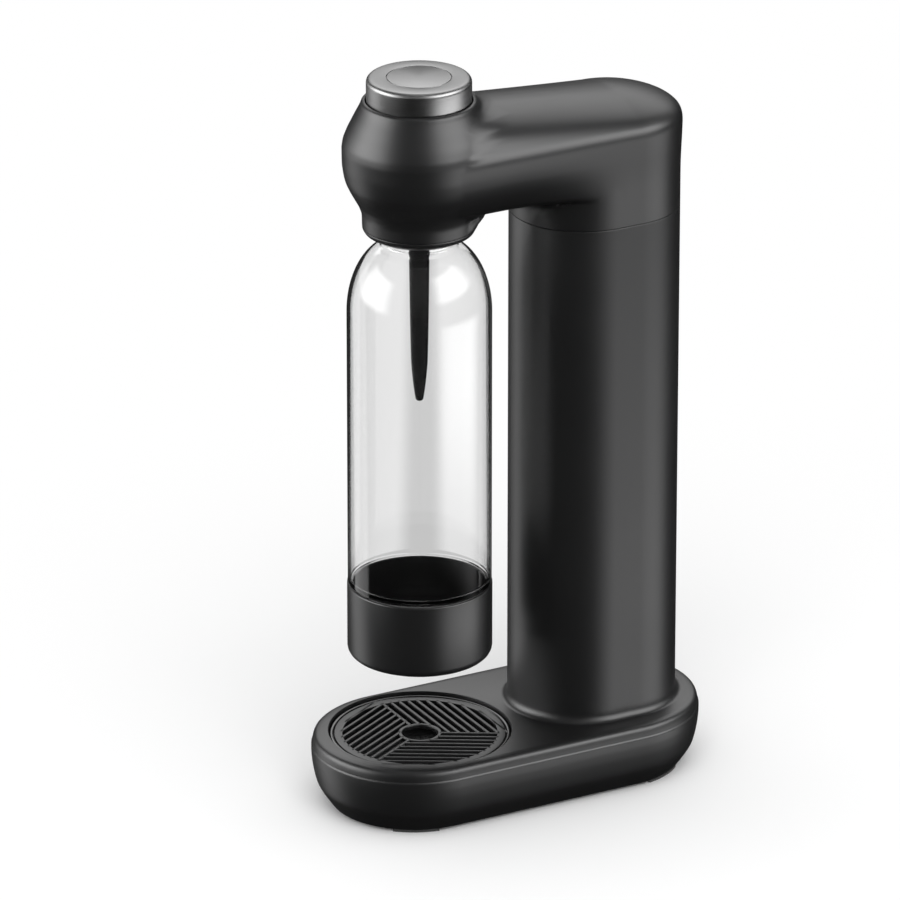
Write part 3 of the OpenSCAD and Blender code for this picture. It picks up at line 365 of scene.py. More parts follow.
def vector_node(tree, operation, a, b=(0, 0, 0)):
    node = add_node(tree, "ShaderNodeVectorMath", in0=a, in1=b)
    node.operation = operation
    return node


def smooth_step(tree, value, low, high):
    node = add_node(tree, "ShaderNodeMapRange", Value=value, From_Min=low, From_Max=high)
    node.interpolation_type = "SMOOTHSTEP"
    return node.outputs[0]


def between(tree, share, low, high):
    """A value that runs from low to high as the share runs from 0 to 1."""
    return add_node(tree, "ShaderNodeMapRange", Value=share, To_Min=low, To_Max=high).outputs[0]


def mixed(tree, factor, first, second):
    """The first shader where the factor is 0 and the second where it is 1."""
    return add_node(tree, "ShaderNodeMixShader", in0=factor, in1=first.outputs[0], in2=second.outputs[0])


def new_group(name, outputs, **inputs):
    """A shader group of float sockets. An input without a value is a vector."""
    group = bpy.data.node_groups.new(name, "ShaderNodeTree")
    for label, value in inputs.items():
        kind = "NodeSocketVector" if value is None else "NodeSocketFloat"
        socket = group.interface.new_socket(name=label, in_out="INPUT", socket_type=kind)
        if value is not None:
            socket.default_value = value
    for label in outputs:
        group.interface.new_socket(name=label, in_out="OUTPUT", socket_type="NodeSocketFloat")
    return group, group.nodes.new("NodeGroupInput"), group.nodes.new("NodeGroupOutput")


def drift_outputs(group, given, made, noise, height):
    """The roughness swings about its given value with the noise, which is also the mask for the shade."""
    centred = math_node(group, "SUBTRACT", noise.outputs["Fac"], 0.5)
    swing = math_node(group, "MULTIPLY", centred, given.outputs["Spread"])
    rough = math_node(group, "ADD", given.outputs["Roughness"], swing)
    group.links.new(height.outputs["Fac"], made.inputs["Height"])
    group.links.new(rough, made.inputs["Roughness"])
    group.links.new(noise.outputs["Fac"], made.inputs["Mask"])
    return group


def make_grain_group():
    """Fine moulded or sprayed grain: a height for bump and a roughness that drifts a little."""
    group, given, made = new_group("moulded_grain", ("Height", "Roughness", "Mask"), Vector=None, Grain=2500.0,
                                   Drift=18.0, Roughness=0.4, Spread=0.06)
    fine = add_node(group, "ShaderNodeTexNoise", Vector=given.outputs["Vector"], Scale=given.outputs["Grain"],
                    Detail=3.0, Roughness=0.6)
    drift = add_node(group, "ShaderNodeTexNoise", Vector=given.outputs["Vector"], Scale=given.outputs["Drift"],
                     Detail=4.0, Roughness=0.55)
    return drift_outputs(group, given, made, drift, fine)


def make_brushed_group():
    """Brushed metal: fine lines along the vector's long axis, as a height, a roughness and a shade."""
    group, given, made = new_group("brushed_lines", ("Height", "Roughness", "Mask"), Vector=None, Lines=900.0,
                                   Stretch=0.02, Roughness=0.3, Spread=0.2)
    scale = add_node(group, "ShaderNodeCombineXYZ", X=1.0, Y=given.outputs["Stretch"], Z=1.0)
    drawn = vector_node(group, "MULTIPLY", given.outputs["Vector"], scale.outputs[0])
    lines = add_node(group, "ShaderNodeTexNoise", Vector=drawn.outputs[0], Scale=given.outputs["Lines"],
                     Detail=4.0, Roughness=0.7)
    return drift_outputs(group, given, made, lines, lines)


grain_group = make_grain_group()
brushed_group = make_brushed_group()
# Depth of the grain and of the brushed lines in millimetres, and the metal's other values
GRAIN_DEPTH = 0.05
BRUSH_DEPTH = 0.02
BRUSH_STRENGTH = 0.12
BRUSH_ANISOTROPY = 0.4
# How fast the bottle's plastic darkens with its thickness
CLEAR_DENSITY = 32.0


def new_material(name):
    material = bpy.data.materials.new(name)
    material.use_nodes = True
    tree = material.node_tree
    tree.nodes.clear()
    shader = tree.nodes.new("ShaderNodeBsdfPrincipled")
    output = tree.nodes.new("ShaderNodeOutputMaterial")
    tree.links.new(shader.outputs[0], output.inputs["Surface"])
    return material, tree, shader


def set_surface(tree, node):
    """Makes a shader the material's surface, in place of the plain one, and returns the output node."""
    output = next(n for n in tree.nodes if n.type == "OUTPUT_MATERIAL")
    tree.links.new(node.outputs[0], output.inputs["Surface"])
    return output


def object_vector(tree, location=(0, 0, 0)):
    coordinates = tree.nodes.new("ShaderNodeTexCoord")
    mapping = add_node(tree, "ShaderNodeMapping", Vector=coordinates.outputs["Object"], Location=location)
    return mapping.outputs[0]


def surface_group(tree, group, vector, **values):
    """A shader group in this material, with the vector and the values that are its own."""
    node = add_node(tree, "ShaderNodeGroup")
    node.node_tree = group
    tree.links.new(vector, node.inputs["Vector"])
    for name, value in values.items():
        node.inputs[name].default_value = value
    return node


def shade_mix(tree, mask, low, high):
    mix = add_node(tree, "ShaderNodeMix")
    mix.data_type = "RGBA"
    mix.inputs[6].default_value = (*low, 1)
    mix.inputs[7].default_value = (*high, 1)
    tree.links.new(mask, mix.inputs[0])
    return mix.outputs[2]


def link_surface(tree, shader, group, dark, light, strength, depth):
    """Links a surface group's roughness, shade and bump to the shader."""
    tree.links.new(group.outputs["Roughness"], shader.inputs["Roughness"])
    tree.links.new(shade_mix(tree, group.outputs["Mask"], dark, light), shader.inputs["Base Color"])
    bump = add_node(tree, "ShaderNodeBump", Strength=strength, Distance=depth * MM, Height=group.outputs["Height"])
    tree.links.new(bump.outputs[0], shader.inputs["Normal"])


def plastic(name, dark, light, roughness, grain=2500.0, strength=0.15, spread=0.06, specular=0.5, metallic=0.0):
    """Moulded plastic, lacquer or plated metal: grain, slow drift of shade and roughness."""
    material, tree, shader = new_material(name)
    group = surface_group(tree, grain_group, object_vector(tree), Grain=grain, Roughness=roughness, Spread=spread)
    link_surface(tree, shader, group, dark, light, strength, GRAIN_DEPTH)
    shader.inputs["Specular IOR Level"].default_value = specular
    shader.inputs["Metallic"].default_value = metallic
    return material


def brushed(name, dark, light, roughness, lines, stretch, vector=object_vector):
    """Brushed or turned metal. The vector function gives the run of its lines, along Y if none is named."""
    material, tree, shader = new_material(name)
    group = surface_group(tree, brushed_group, vector(tree), Lines=lines, Stretch=stretch, Roughness=roughness)
    link_surface(tree, shader, group, dark, light, BRUSH_STRENGTH, BRUSH_DEPTH)
    shader.inputs["Metallic"].default_value = 1.0
    shader.inputs["Anisotropic"].default_value = BRUSH_ANISOTROPY
    return material


def round_vector(tree):
    """Radius, turn and height about the bottle's axis, so that lines run round it."""
    centred = object_vector(tree, location=(0, -BOTTLE_Y * MM, 0))
    parts = add_node(tree, "ShaderNodeSeparateXYZ", Vector=centred)
    x, y, z = parts.outputs
    square = math_node(tree, "ADD", math_node(tree, "MULTIPLY", x, x), math_node(tree, "MULTIPLY", y, y))
    radius = math_node(tree, "SQRT", square)
    turn = math_node(tree, "MULTIPLY", math_node(tree, "ARCTAN2", y, x), 0.03)
    return add_node(tree, "ShaderNodeCombineXYZ", X=radius, Y=turn, Z=z).outputs[0]


def clear_bottle():
    """Clear plastic that lets the light through to what stands behind it."""
    material, tree, shader = new_material("bottle_clear")
    shader.inputs["Base Color"].default_value = (1.0, 1.0, 1.0, 1)
    shader.inputs["Transmission Weight"].default_value = 1.0
    shader.inputs["IOR"].default_value = 1.45
    group = surface_group(tree, grain_group, object_vector(tree), Drift=25.0, Roughness=0.004, Spread=0.004)
    tree.links.new(group.outputs["Roughness"], shader.inputs["Roughness"])
    light = tree.nodes.new("ShaderNodeLightPath")
    through = add_node(tree, "ShaderNodeBsdfTransparent", Color=(0.93, 0.93, 0.93, 1))
    output = set_surface(tree, mixed(tree, light.outputs["Is Shadow Ray"], shader, through))
    absorbed = add_node(tree, "ShaderNodeVolumeAbsorption", Color=(0, 0, 0, 1), Density=CLEAR_DENSITY)
    tree.links.new(absorbed.outputs[0], output.inputs["Volume"])
    return material


materials = {
    "satin_black": plastic("shell_satin_black", (0.006, 0.006, 0.0063), (0.0085, 0.0085, 0.0088), 0.4),
    "gloss_black": plastic("tray_gloss_black", (0.005, 0.005, 0.0053), (0.007, 0.007, 0.0072), 0.2, spread=0.04),
    "clear_plastic": clear_bottle(),
    "grey_plastic": plastic("inner_grey_plastic", (0.2, 0.2, 0.21), (0.26, 0.26, 0.27), 0.5),
    "brushed_steel": brushed("steel_brushed", (0.5, 0.5, 0.5), (0.62, 0.62, 0.62), 0.28, 900.0, 0.02),
    "plated_steel": plastic("zinc_plate", (0.58, 0.6, 0.62), (0.68, 0.69, 0.7), 0.32, metallic=1.0),
    "brass": brushed("brass_turned", (0.66, 0.5, 0.25), (0.8, 0.63, 0.34), 0.26, 700.0, 0.1),
    "aluminium": brushed("aluminium_drawn", (0.66, 0.67, 0.69), (0.76, 0.77, 0.78), 0.33, 500.0, 0.05),
    "rubber": plastic("rubber_matt", (0.02, 0.02, 0.02), (0.03, 0.03, 0.03), 0.8, grain=1200.0, strength=0.3),
}
button_steel = brushed("button_steel", (0.17, 0.17, 0.17), (0.24, 0.24, 0.24), 0.36, 1400.0, 0.05, round_vector)
boot_black = plastic("boot_satin_black", (0.007, 0.007, 0.0073), (0.0095, 0.0095, 0.0098), 0.36)
nozzle_black = plastic("nozzle_gloss_black", (0.003, 0.003, 0.003), (0.004, 0.004, 0.004), 0.25, specular=0.15)

slot_of = {row["node"]: row["material_slot"] for row in frame["record"]["subparts"]}
for node, obj in frame["nodes"].items():
    obj.data.materials.clear()
    obj.data.materials.append(materials[slot_of[node]])


# The head, from smooth fields of distance

def share_table(shares, column):
    """Evenly spaced shares and the smooth values between the listed ones."""
    table = np.array(shares, float)
    even = np.linspace(0, 1, 400)
    return even, monotone(table[:, 0], table[:, column], even)


BULB_LOW = share_table(BULB_LOW_SHARES, 1)
BULB_TOP = share_table(BULB_TOP_SHARES, 1)
ARM_LOW = [share_table(ARM_LOW_SHARES, k) for k in (1, 2)]
ARM_TOP = [share_table(ARM_TOP_SHARES, k) for k in (1, 2)]


def ramp(value, start, end):
    """Share from 0 at the start to 1 at the end, smooth at both."""
    t = np.clip((value - start) / (end - start), 0, 1)
    return t * t * (3 - 2 * t)


def bulb_radius(z):
    """Radius of the round front of the head at a height."""
    low = np.interp((z - BULB_Z) / (RIDGE_Z - BULB_Z), *BULB_LOW)
    top = np.interp((z - RIDGE_Z) / (LIP_Z - RIDGE_Z), *BULB_TOP)
    taper = NECK_TAPER * np.clip(BULB_Z - z, 0, 12)
    return np.where(z < RIDGE_Z, BULB_LOW_R + (HEAD_R - BULB_LOW_R) * low - taper,
                    LIP_R + (HEAD_R - LIP_R) * top)


def arm_half_width(z, t):
    """Half the arm's width at a height, where t runs from the bottle to the column's rear."""
    share = (z - ARCH_Z) / (RIDGE_Z - ARCH_Z)
    u = ramp(t, 0.32, 0.92)
    low = np.interp(share, *ARM_LOW[0]) * (1 - u) + np.interp(share, *ARM_LOW[1]) * u
    return (HEAD_R + (REAR_R - HEAD_R) * t) * low


def arm_top(s, t):
    """Height of the arm's crown at a distance from its middle line."""
    half = HEAD_R + (REAR_R - HEAD_R) * t
    share = np.interp(s / half, *ARM_TOP[0]) * (1 - t) + np.interp(s / half, *ARM_TOP[1]) * t
    beyond = np.maximum(s - half, 0) * 3
    return RIDGE_Z + (ARM_RISE_FRONT + (ARM_RISE_REAR - ARM_RISE_FRONT) * t) * share - beyond


def steepness(function, at, *rest):
    """How much longer a slanted step is than its run, for the fields' even measure."""
    step = 0.25
    rise = function(at + step, *rest) - function(at - step, *rest)
    return np.sqrt(1 + (rise / (2 * step)) ** 2)


def smooth_max(a, b, k):
    """The larger of two values, with a soft change of width k."""
    h = np.maximum(k - np.abs(a - b), 0) / k
    return np.maximum(a, b) + h * h * k / 4


def spine_distance(x, y, y0, y1):
    return np.hypot(x, y - np.clip(y, y0, y1))


def along_arm(x, y):
    """Share of the way from the bottle to the column's rear, and distance from the arm's middle line."""
    share = np.clip((y - BOTTLE_Y) / (REAR_Y - BOTTLE_Y), 0, 1)
    return share, spine_distance(x, y, BOTTLE_Y - HEAD_R, REAR_Y)


def bulb_field(p):
    x, y, z = p.T
    side = (np.hypot(x, y - BOTTLE_Y) - bulb_radius(z)) / steepness(bulb_radius, z)
    return np.maximum(smooth_max(side, z - LIP_Z, LIP_SOFT), BULB_Z - 6 - z)


def arm_field(p):
    x, y, z = p.T
    t, s = along_arm(x, y)
    top = (z - arm_top(s, t)) / steepness(arm_top, s, t)
    side = (s - arm_half_width(z, t)) / steepness(arm_half_width, z, t)
    edge = 0.5 + 6 * (1 - ramp(y, COLUMN_Y - 40, COLUMN_Y - 10))
    return np.maximum(smooth_max(smooth_max(top, side, RIDGE_SOFT), ARCH_Z - z, edge), BOTTLE_Y - y)


def stub_side(x, y):
    return spine_distance(x, y, COLUMN_Y - COLUMN_HALF, REAR_Y) - COLUMN_R


def stub_field(p):
    """The short stub that stands on the column."""
    x, y, z = p.T
    return np.maximum(np.maximum(stub_side(x, y), z - ARCH_Z - 14), SEAM_Z - 6 - z)


def gradient(field, p):
    step = 0.2
    g = np.stack([(field(p + e) - field(p - e)) / (2 * step) for e in np.eye(3) * step], 1)
    return g / np.maximum(np.linalg.norm(g, axis=1, keepdims=True), 1e-6)


def blended(a, ga, b, gb, fillet):
    """Union of two fields with a fillet that fades where the two surfaces run side by side."""
    apart = np.clip(1 - np.sum(ga * gb, 1), 0, 1)
    k = np.maximum(fillet * apart, 1e-3)
    h = np.maximum(k - np.abs(a - b), 0) / k
    w = np.where(a < b, h / 2, 1 - h / 2)
    g = ga * (1 - w)[:, None] + gb * w[:, None]
    return np.minimum(a, b) - h * h * k / 4, g


def head_field(p):
    """Distance to the head's outer surface and its direction, near that surface."""
    x, y, z = p.T
    bulb, arm, stub = bulb_field(p), arm_field(p), stub_field(p)
    gb, ga, gs = gradient(bulb_field, p), gradient(arm_field, p), gradient(stub_field, p)
    arch = ARCH_FILLET * ramp(y, BOTTLE_Y + 8, BOTTLE_Y + 20) * (1 - ramp(z, ARCH_Z + 10, RIDGE_Z))
    share = RIDGE_SHARE * ramp(z, ARCH_Z + 6, RIDGE_Z - 2) + (1 - RIDGE_SHARE) * ramp(z, RIDGE_Z - 2, RIDGE_Z + 14)
    share *= 1 - (1 - CROWN_SHARE) * ramp(z, RIDGE_Z + 14, RIDGE_Z + 24)
    top = TOP_FILLET * share * ramp(y, BOTTLE_Y, BOTTLE_Y + 12)
    value, g = blended(bulb, gb, arm, ga, arch + top)
    t, s = along_arm(x, y)
    overhang = stub_side(x, y) + arm_half_width(z, t) - s
    under = np.clip(overhang, 0, STUB_FILLET) * (1 - ramp(z, ARCH_Z + 4, ARCH_Z + 12))
    return blended(value, g, stub, gs, under)


def plain_field(p):
    """The head's form without its fillets."""
    return np.minimum(np.minimum(bulb_field(p), arm_field(p)), stub_field(p))


def surface_net(field, low, high, step):
    """Points and four-sided faces of the surface where a field changes sign, on a cubic grid."""
    axes = [np.arange(a, b + step, step) for a, b in zip(low, high)]
    shape = [len(a) for a in axes]
    grid = np.stack(np.meshgrid(*axes, indexing="ij"), -1).reshape(-1, 3)
    value = field(grid).reshape(shape)
    inside = value < 0
    total = np.zeros([n - 1 for n in shape] + [3])
    count = np.zeros([n - 1 for n in shape])
    crossings = []
    for axis in range(3):
        others = [k for k in range(3) if k != axis]
        change = np.diff(inside, axis=axis)
        for k in others:
            np.moveaxis(change, k, 0)[[0, -1]] = False
        at = np.argwhere(change)
        a, b = value[tuple(at.T)], value[tuple((at + np.eye(3, dtype=int)[axis]).T)]
        point = at.astype(float)
        point[:, axis] += a / (a - b)
        cells = []
        for move in ((-1, -1), (0, -1), (0, 0), (-1, 0)):
            cell = at.copy()
            cell[:, others] += move
            np.add.at(total, tuple(cell.T), point)
            np.add.at(count, tuple(cell.T), 1)
            cells.append(cell)
        flip = inside[tuple(at.T)] != (axis == 1)
        crossings.append((cells, flip))
    used = count > 0
    number = np.full(used.shape, -1)
    number[used] = np.arange(used.sum())
    points = total[used] / count[used][:, None] * step + np.array(low, float)
    faces = []
    for cells, flip in crossings:
        quads = np.stack([number[tuple(c.T)] for c in cells], 1)
        quads[~flip] = quads[~flip][:, ::-1]
        faces.append(quads)
    return points, np.concatenate(faces)


def relaxed(points, faces, rounds, field):
    """Spreads the points evenly and sets them on the surface again, several times."""
    pairs = np.concatenate([faces[:, [k, (k + 1) % 4]] for k in range(4)])
    for turn in range(rounds + 2):
        if turn < rounds:
            total, count = np.zeros_like(points), np.zeros(len(points))
            for a, b in ((0, 1), (1, 0)):
                np.add.at(total, pairs[:, a], points[pairs[:, b]])
                np.add.at(count, pairs[:, a], 1)
            points = points * 0.5 + total / count[:, None] * 0.5
        for _ in range(2):
            value, g = field(points)
            size = np.maximum(np.sum(g * g, 1), 0.25)
            points = points - np.clip(value / size, -1.5, 1.5)[:, None] * g
    return points


def inner_field(p):
    """The head's inner space: the outer form drawn in by its wall, with the button's hole."""
    x, y, z = p.T
    space = plain_field(p) + HEAD_WALL
    from_bottle = np.hypot(x, y - BOTTLE_Y)
    deep = np.maximum(stub_field(p * (1, 1, 0) + (0, 0, ARCH_Z)) + HEAD_WALL,
                      np.maximum(z - ARCH_Z - 8, SEAM_Z - 4 - z))
    bulb_low = np.maximum(from_bottle - BULB_LOW_R + HEAD_WALL, np.maximum(z - BULB_Z - 5, BULB_Z - 4 - z))
    hole = np.maximum(from_bottle - BUTTON_HOLE_R, np.maximum(z - LIP_Z - 4, RIDGE_Z + 14 - z))
    return np.minimum(np.minimum(space, hole), np.minimum(deep, bulb_low))


def open_shell(points, faces, flip):
    """A skin of the head, cut open at the button, above the column and over the bottle."""
    bm = bmesh.new()
    verts = [bm.verts.new(p) for p in points]
    for f in faces:
        bm.faces.new([verts[i] for i in (reversed(f) if flip else f)])
    cuts = [(LIP_CUT, 1, lambda v: v.z > RIDGE_Z), (SEAM_CUT, -1, lambda v: v.y > 0 and v.z < ARCH_Z),
            (BULB_Z, -1, lambda v: v.y < 0 and v.z < ARCH_Z)]
    for z, side, near in cuts:
        chosen = [f for f in bm.faces if near(f.calc_center_median())]
        edges = dict.fromkeys(e for f in chosen for e in f.edges)
        geometry = [*chosen, *edges, *dict.fromkeys(v for f in chosen for v in f.verts)]
        bmesh.ops.bisect_plane(bm, geom=geometry, plane_co=(0, 0, z), plane_no=(0, 0, side), clear_outer=True)
    return bm


def make_head():
    """The head's shell. Its grid is set so that the ridge runs between two layers."""
    layers = 0.5 + math.ceil((RIDGE_Z - (SEAM_Z - 12)) / OUTER_STEP)
    low = (-HEAD_R - 6, BOTTLE_Y - HEAD_R - 6, RIDGE_Z - OUTER_STEP * layers)
    high = (HEAD_R + 6, REAR_Y + REAR_R + 6, LIP_Z + 8)
    points, faces = surface_net(plain_field, low, high, OUTER_STEP)
    shell = open_shell(relaxed(points, faces, RELAX_ROUNDS, head_field), faces.tolist(), False)
    points, faces = surface_net(inner_field, low, high, INNER_STEP)
    inside = open_shell(points, faces.tolist(), True)
    mesh = bpy.data.meshes.new("head_inside")
    inside.to_mesh(mesh)
    inside.free()
    shell.from_mesh(mesh)
    rims = [e for e in shell.edges if e.is_boundary]
    for z in (LIP_CUT, SEAM_CUT, BULB_Z):
        loop = [e for e in rims if all(abs(v.co.z - z) < 0.01 for v in e.verts)]
        bmesh.ops.triangle_fill(shell, edges=loop, use_beauty=True)
    bmesh.ops.scale(shell, vec=(MM, MM, MM), verts=shell.verts)
    bmesh.ops.recalc_face_normals(shell, faces=shell.faces)
    obj = finish_object("head_shell", shell, bpy.data.meshes.new("head_shell"), 40)
    place(obj, "machine", "satin_black", "head_housing")


# Column, base and what stands on them

def make_column():
    foot = [(COLUMN_R + FLARE_OUT * (1 - math.sin(a)), BASE_TOP + FLARE_H * (1 - math.cos(a)))
            for a in np.radians(np.linspace(0, 90, 10))]
    inner_r = COLUMN_R - COLUMN_WALL
    outline = foot + filleted([foot[-1], (COLUMN_R, SEAM_Z, 0.5), (inner_r, SEAM_Z, 0.3), (inner_r, BASE_TOP)], 3)[1:]
    obj = turned("column_tube", outline, COLUMN_Y, COLUMN_HALF, FINE_STEPS)
    place(obj, "machine", "satin_black", "column_shell")


def cut(obj, tool):
    """Cuts the tool's space out of the object, as a plain mesh, and removes the tool."""
    modifier = obj.modifiers.new("cut", "BOOLEAN")
    modifier.operation, modifier.solver, modifier.object = "DIFFERENCE", "EXACT", tool
    bpy.context.view_layer.update()
    mesh = bpy.data.meshes.new_from_object(obj.evaluated_get(bpy.context.evaluated_depsgraph_get()))
    obj.modifiers.clear()
    obj.data = mesh
    mesh.shade_smooth()
    mesh.set_sharp_from_angle(angle=math.radians(BASE_SHARP))
    bpy.data.objects.remove(tool)


def make_base():
    """The base's shell: a swelling side up to a crisp edge, a steep shoulder, the tray's well and a hollow below."""
    height = BASE_TOP - FOOT_LIFT
    side, shoulder = ([(BASE_R * r, FOOT_LIFT + height * h) for r, h in shares]
                      for shares in (BASE_SHARES, SHOULDER_SHARES))
    side = [tuple(p) for p in interpolate(side, 32)] + [tuple(p) for p in interpolate(shoulder, 14)]
    body = turned("base_body", side, 0, BASE_HALF, FINE_STEPS, False, BASE_SHARP)
    inner = [(r - BASE_WALL, z) for r, z in side if z < BASE_TOP - BASE_WALL - 0.5]
    inner = [(inner[0][0], FOOT_LIFT - 4), *inner, (inner[-1][0], BASE_TOP - BASE_WALL)]
    hollow = turned("base_hollow", inner, 0, BASE_HALF, FINE_STEPS, False)
    floor = BASE_TOP - WELL_DEPTH
    skin_r = WELL_R + BASE_WALL
    cut(hollow, turned("well_skin", [(skin_r, floor - BASE_WALL), (skin_r, BASE_TOP + 3)], steps=FINE_STEPS,
                       closed=False))
    cut(body, hollow)
    well = filleted([(WELL_R - 8, floor), (WELL_R, floor, 1), (WELL_R, BASE_TOP - 0.3), (WELL_R + 0.3, BASE_TOP),
                     (WELL_R + 0.3, BASE_TOP + 3)], 4)
    cut(body, turned("well", well, steps=FINE_STEPS, closed=False))
    place(body, "machine", "satin_black", "base_shell")


def make_collar():
    low, high = millimetre_box("collar_ring")
    outer, bore = (high.x - low.x) / 2, 21.9
    outline = filleted([(bore, high.z), (bore, low.z, 0.5), (outer - 6.3, low.z, 0.8), (outer - 1.2, low.z + 2.6, 3),
                        (outer, high.z - 1, 1), (outer, high.z, 0.4), (bore, high.z)], 5)[:-1]
    place(turned("collar", outline), "machine", "satin_black", "collar_ring")


def dome(r, z):
    """Corners of the pushed-up foot, from its middle outwards, with its steps."""
    steps = [(0, 1), (0.2, 0.965), (0.225, 0.9), (0.44, 0.745), (0.465, 0.66), (0.64, 0.4), (0.78, 0.14), (0.88, 0.015)]
    return [(r * a, z + DOME_H * b, 1.2) for a, b in steps]


def make_bottle():
    foot_r = BOOT_R - BOOT_WALL - 0.3
    foot_z = BOOT_LOW + BOOT_FLOOR + 0.3
    shoulder = ellipse_points((SHOULDER_FLAT_R, SHOULDER_Z), (BOTTLE_R - SHOULDER_FLAT_R, SHOULDER_H), 0, 75, 24)
    inner_shoulder = ellipse_points((SHOULDER_FLAT_R, SHOULDER_Z),
                                    (BOTTLE_R - SHOULDER_FLAT_R - BOTTLE_WALL, SHOULDER_H - BOTTLE_WALL), 75, 0, 24)
    neck_base = SHOULDER_Z + SHOULDER_H
    inner_r = foot_r - BOTTLE_WALL
    outer = filleted([*dome(foot_r, foot_z), (foot_r, foot_z, 3),
                      (foot_r, BOOT_TOP + 0.1, 0.8), (BOTTLE_R, BOOT_TOP + 0.8, 0.8), (BOTTLE_R, SHOULDER_Z)], 4)
    neck = filleted([shoulder[-1], (NECK_R, neck_base, 1), (NECK_R, NECK_TOP, 0.6), (NECK_R - NECK_WALL, NECK_TOP, 0.6),
                     (NECK_R - NECK_WALL, neck_base, 1), inner_shoulder[0]], 4)
    inner = filleted([(BOTTLE_R - BOTTLE_WALL, SHOULDER_Z), (BOTTLE_R - BOTTLE_WALL, BOOT_TOP + 4, 2),
                      (inner_r, BOOT_TOP + 1, 2), (inner_r, foot_z + BOTTLE_WALL, 2.5),
                      *dome(inner_r, foot_z + BOTTLE_WALL)[::-1]], 4)
    outline = outer + shoulder[1:-1] + neck + inner_shoulder[1:-1] + inner
    place(turned("bottle_clear", outline, sharp=60), "bottle", "clear_plastic", "bottle_body")


def make_boot():
    inner_r = BOOT_R - BOOT_WALL
    outline = filleted([*dome(inner_r, BOOT_LOW), (BOOT_R, BOOT_LOW, 5), (BOOT_R, BOOT_TOP, 0.9),
                        (inner_r, BOOT_TOP, 0.6), (inner_r, BOOT_LOW + BOOT_FLOOR, 2.5),
                        *dome(inner_r, BOOT_LOW + BOOT_FLOOR)[::-1]], 5)
    place(turned("boot", outline), "bottle", "satin_black", "bottle_boot", boot_black)


def make_nozzle():
    length = NOZZLE_ROOT - NOZZLE_TIP
    side = interpolate([(NOZZLE_R * r, NOZZLE_TIP + length * h) for r, h in
                        ((0.36, 0.006), (0.5, 0.05), (0.64, 0.11), (0.77, 0.19), (0.83, 0.3), (0.88, 0.43),
                         (0.94, 0.7), (1, 1))], 40)
    outline = [(1, NOZZLE_TIP + 0.8), (1, NOZZLE_TIP), (1.5, NOZZLE_TIP), *map(tuple, side),
               (9, NOZZLE_ROOT), (9, NOZZLE_ROOT + 3.2), (1, NOZZLE_ROOT + 3.2)]
    place(turned("nozzle_stem", outline, steps=64), "machine", "gloss_black", "nozzle", nozzle_black)


def make_button():
    seat = CAP_TOP - INLAY_T
    inner = BUTTON_R - CAP_WALL
    cap = filleted([(0, seat), (INLAY_R + INLAY_GAP, seat), (INLAY_R + INLAY_GAP, CAP_TOP, 0.25),
                    (BUTTON_R, CAP_TOP, CAP_EDGE), (BUTTON_R, SKIRT_Z, 0.4), (inner, SKIRT_Z, 0.4),
                    (inner, CAP_TOP - CAP_WALL - INLAY_T, 1), (0, CAP_TOP - CAP_WALL - INLAY_T)], 7)
    place(turned("button_top", cap, sharp=50), "button", "brushed_steel", "button_cap", button_steel)
    disc = filleted([(0, seat), (INLAY_R, seat), (INLAY_R, CAP_TOP, 0.25), (0, CAP_TOP)], 4)
    place(turned("button_disc", disc, sharp=50), "button", "brushed_steel", "button_inlay", button_steel)


def make_tray():
    bowl = GRILLE_R + 0.3 - 3
    ledge = GRILLE_TOP - GRILLE_T - 0.3
    lip_r = TRAY_R - TRAY_LIP
    outline = filleted([(0, TRAY_LOW), (TRAY_R, TRAY_LOW, 1.6), (TRAY_R, TRAY_TOP, 1.15), (lip_r, TRAY_TOP, 1.15),
                        (lip_r, ledge), (bowl, ledge, 0.4), (bowl, TRAY_LOW + TRAY_WALL, 2.5),
                        (0, TRAY_LOW + TRAY_WALL)], 6)
    place(turned("tray_bowl", outline), "tray", "gloss_black", "drip_tray")


# Geometry Nodes trees

def node_tree(name, inputs):
    tree = bpy.data.node_groups.new(name, "GeometryNodeTree")
    tree.interface.new_socket(name="Geometry", in_out="INPUT", socket_type="NodeSocketGeometry")
    for label, kind in inputs:
        tree.interface.new_socket(name=label, in_out="INPUT", socket_type=kind)
    tree.interface.new_socket(name="Geometry", in_out="OUTPUT", socket_type="NodeSocketGeometry")
    return tree, tree.nodes.new("NodeGroupInput"), tree.nodes.new("NodeGroupOutput")


def end_tree(tree, geometry, made, given):
    """Every tree ends in Realize Instances and Set Material."""
    real = add_node(tree, "GeometryNodeRealizeInstances", Geometry=geometry)
    painted = add_node(tree, "GeometryNodeSetMaterial", Geometry=real.outputs[0], Material=given.outputs["Material"])
    tree.links.new(painted.outputs[0], made.inputs[0])


def run_tree(tree, name, source, values):
    """Runs a tree on a mesh and returns the result as a plain mesh object."""
    holder = linked(name + "_source", source)
    modifier = holder.modifiers.new("made", "NODES")
    modifier.node_group = tree
    for item in tree.interface.items_tree:
        if item.item_type == "SOCKET" and item.in_out == "INPUT" and item.name in values:
            modifier[item.identifier] = values[item.name]
    bpy.context.view_layer.update()
    graph = bpy.context.evaluated_depsgraph_get()
    mesh = bpy.data.meshes.new_from_object(holder.evaluated_get(graph))
    bpy.data.objects.remove(holder)
    return linked(name, mesh)


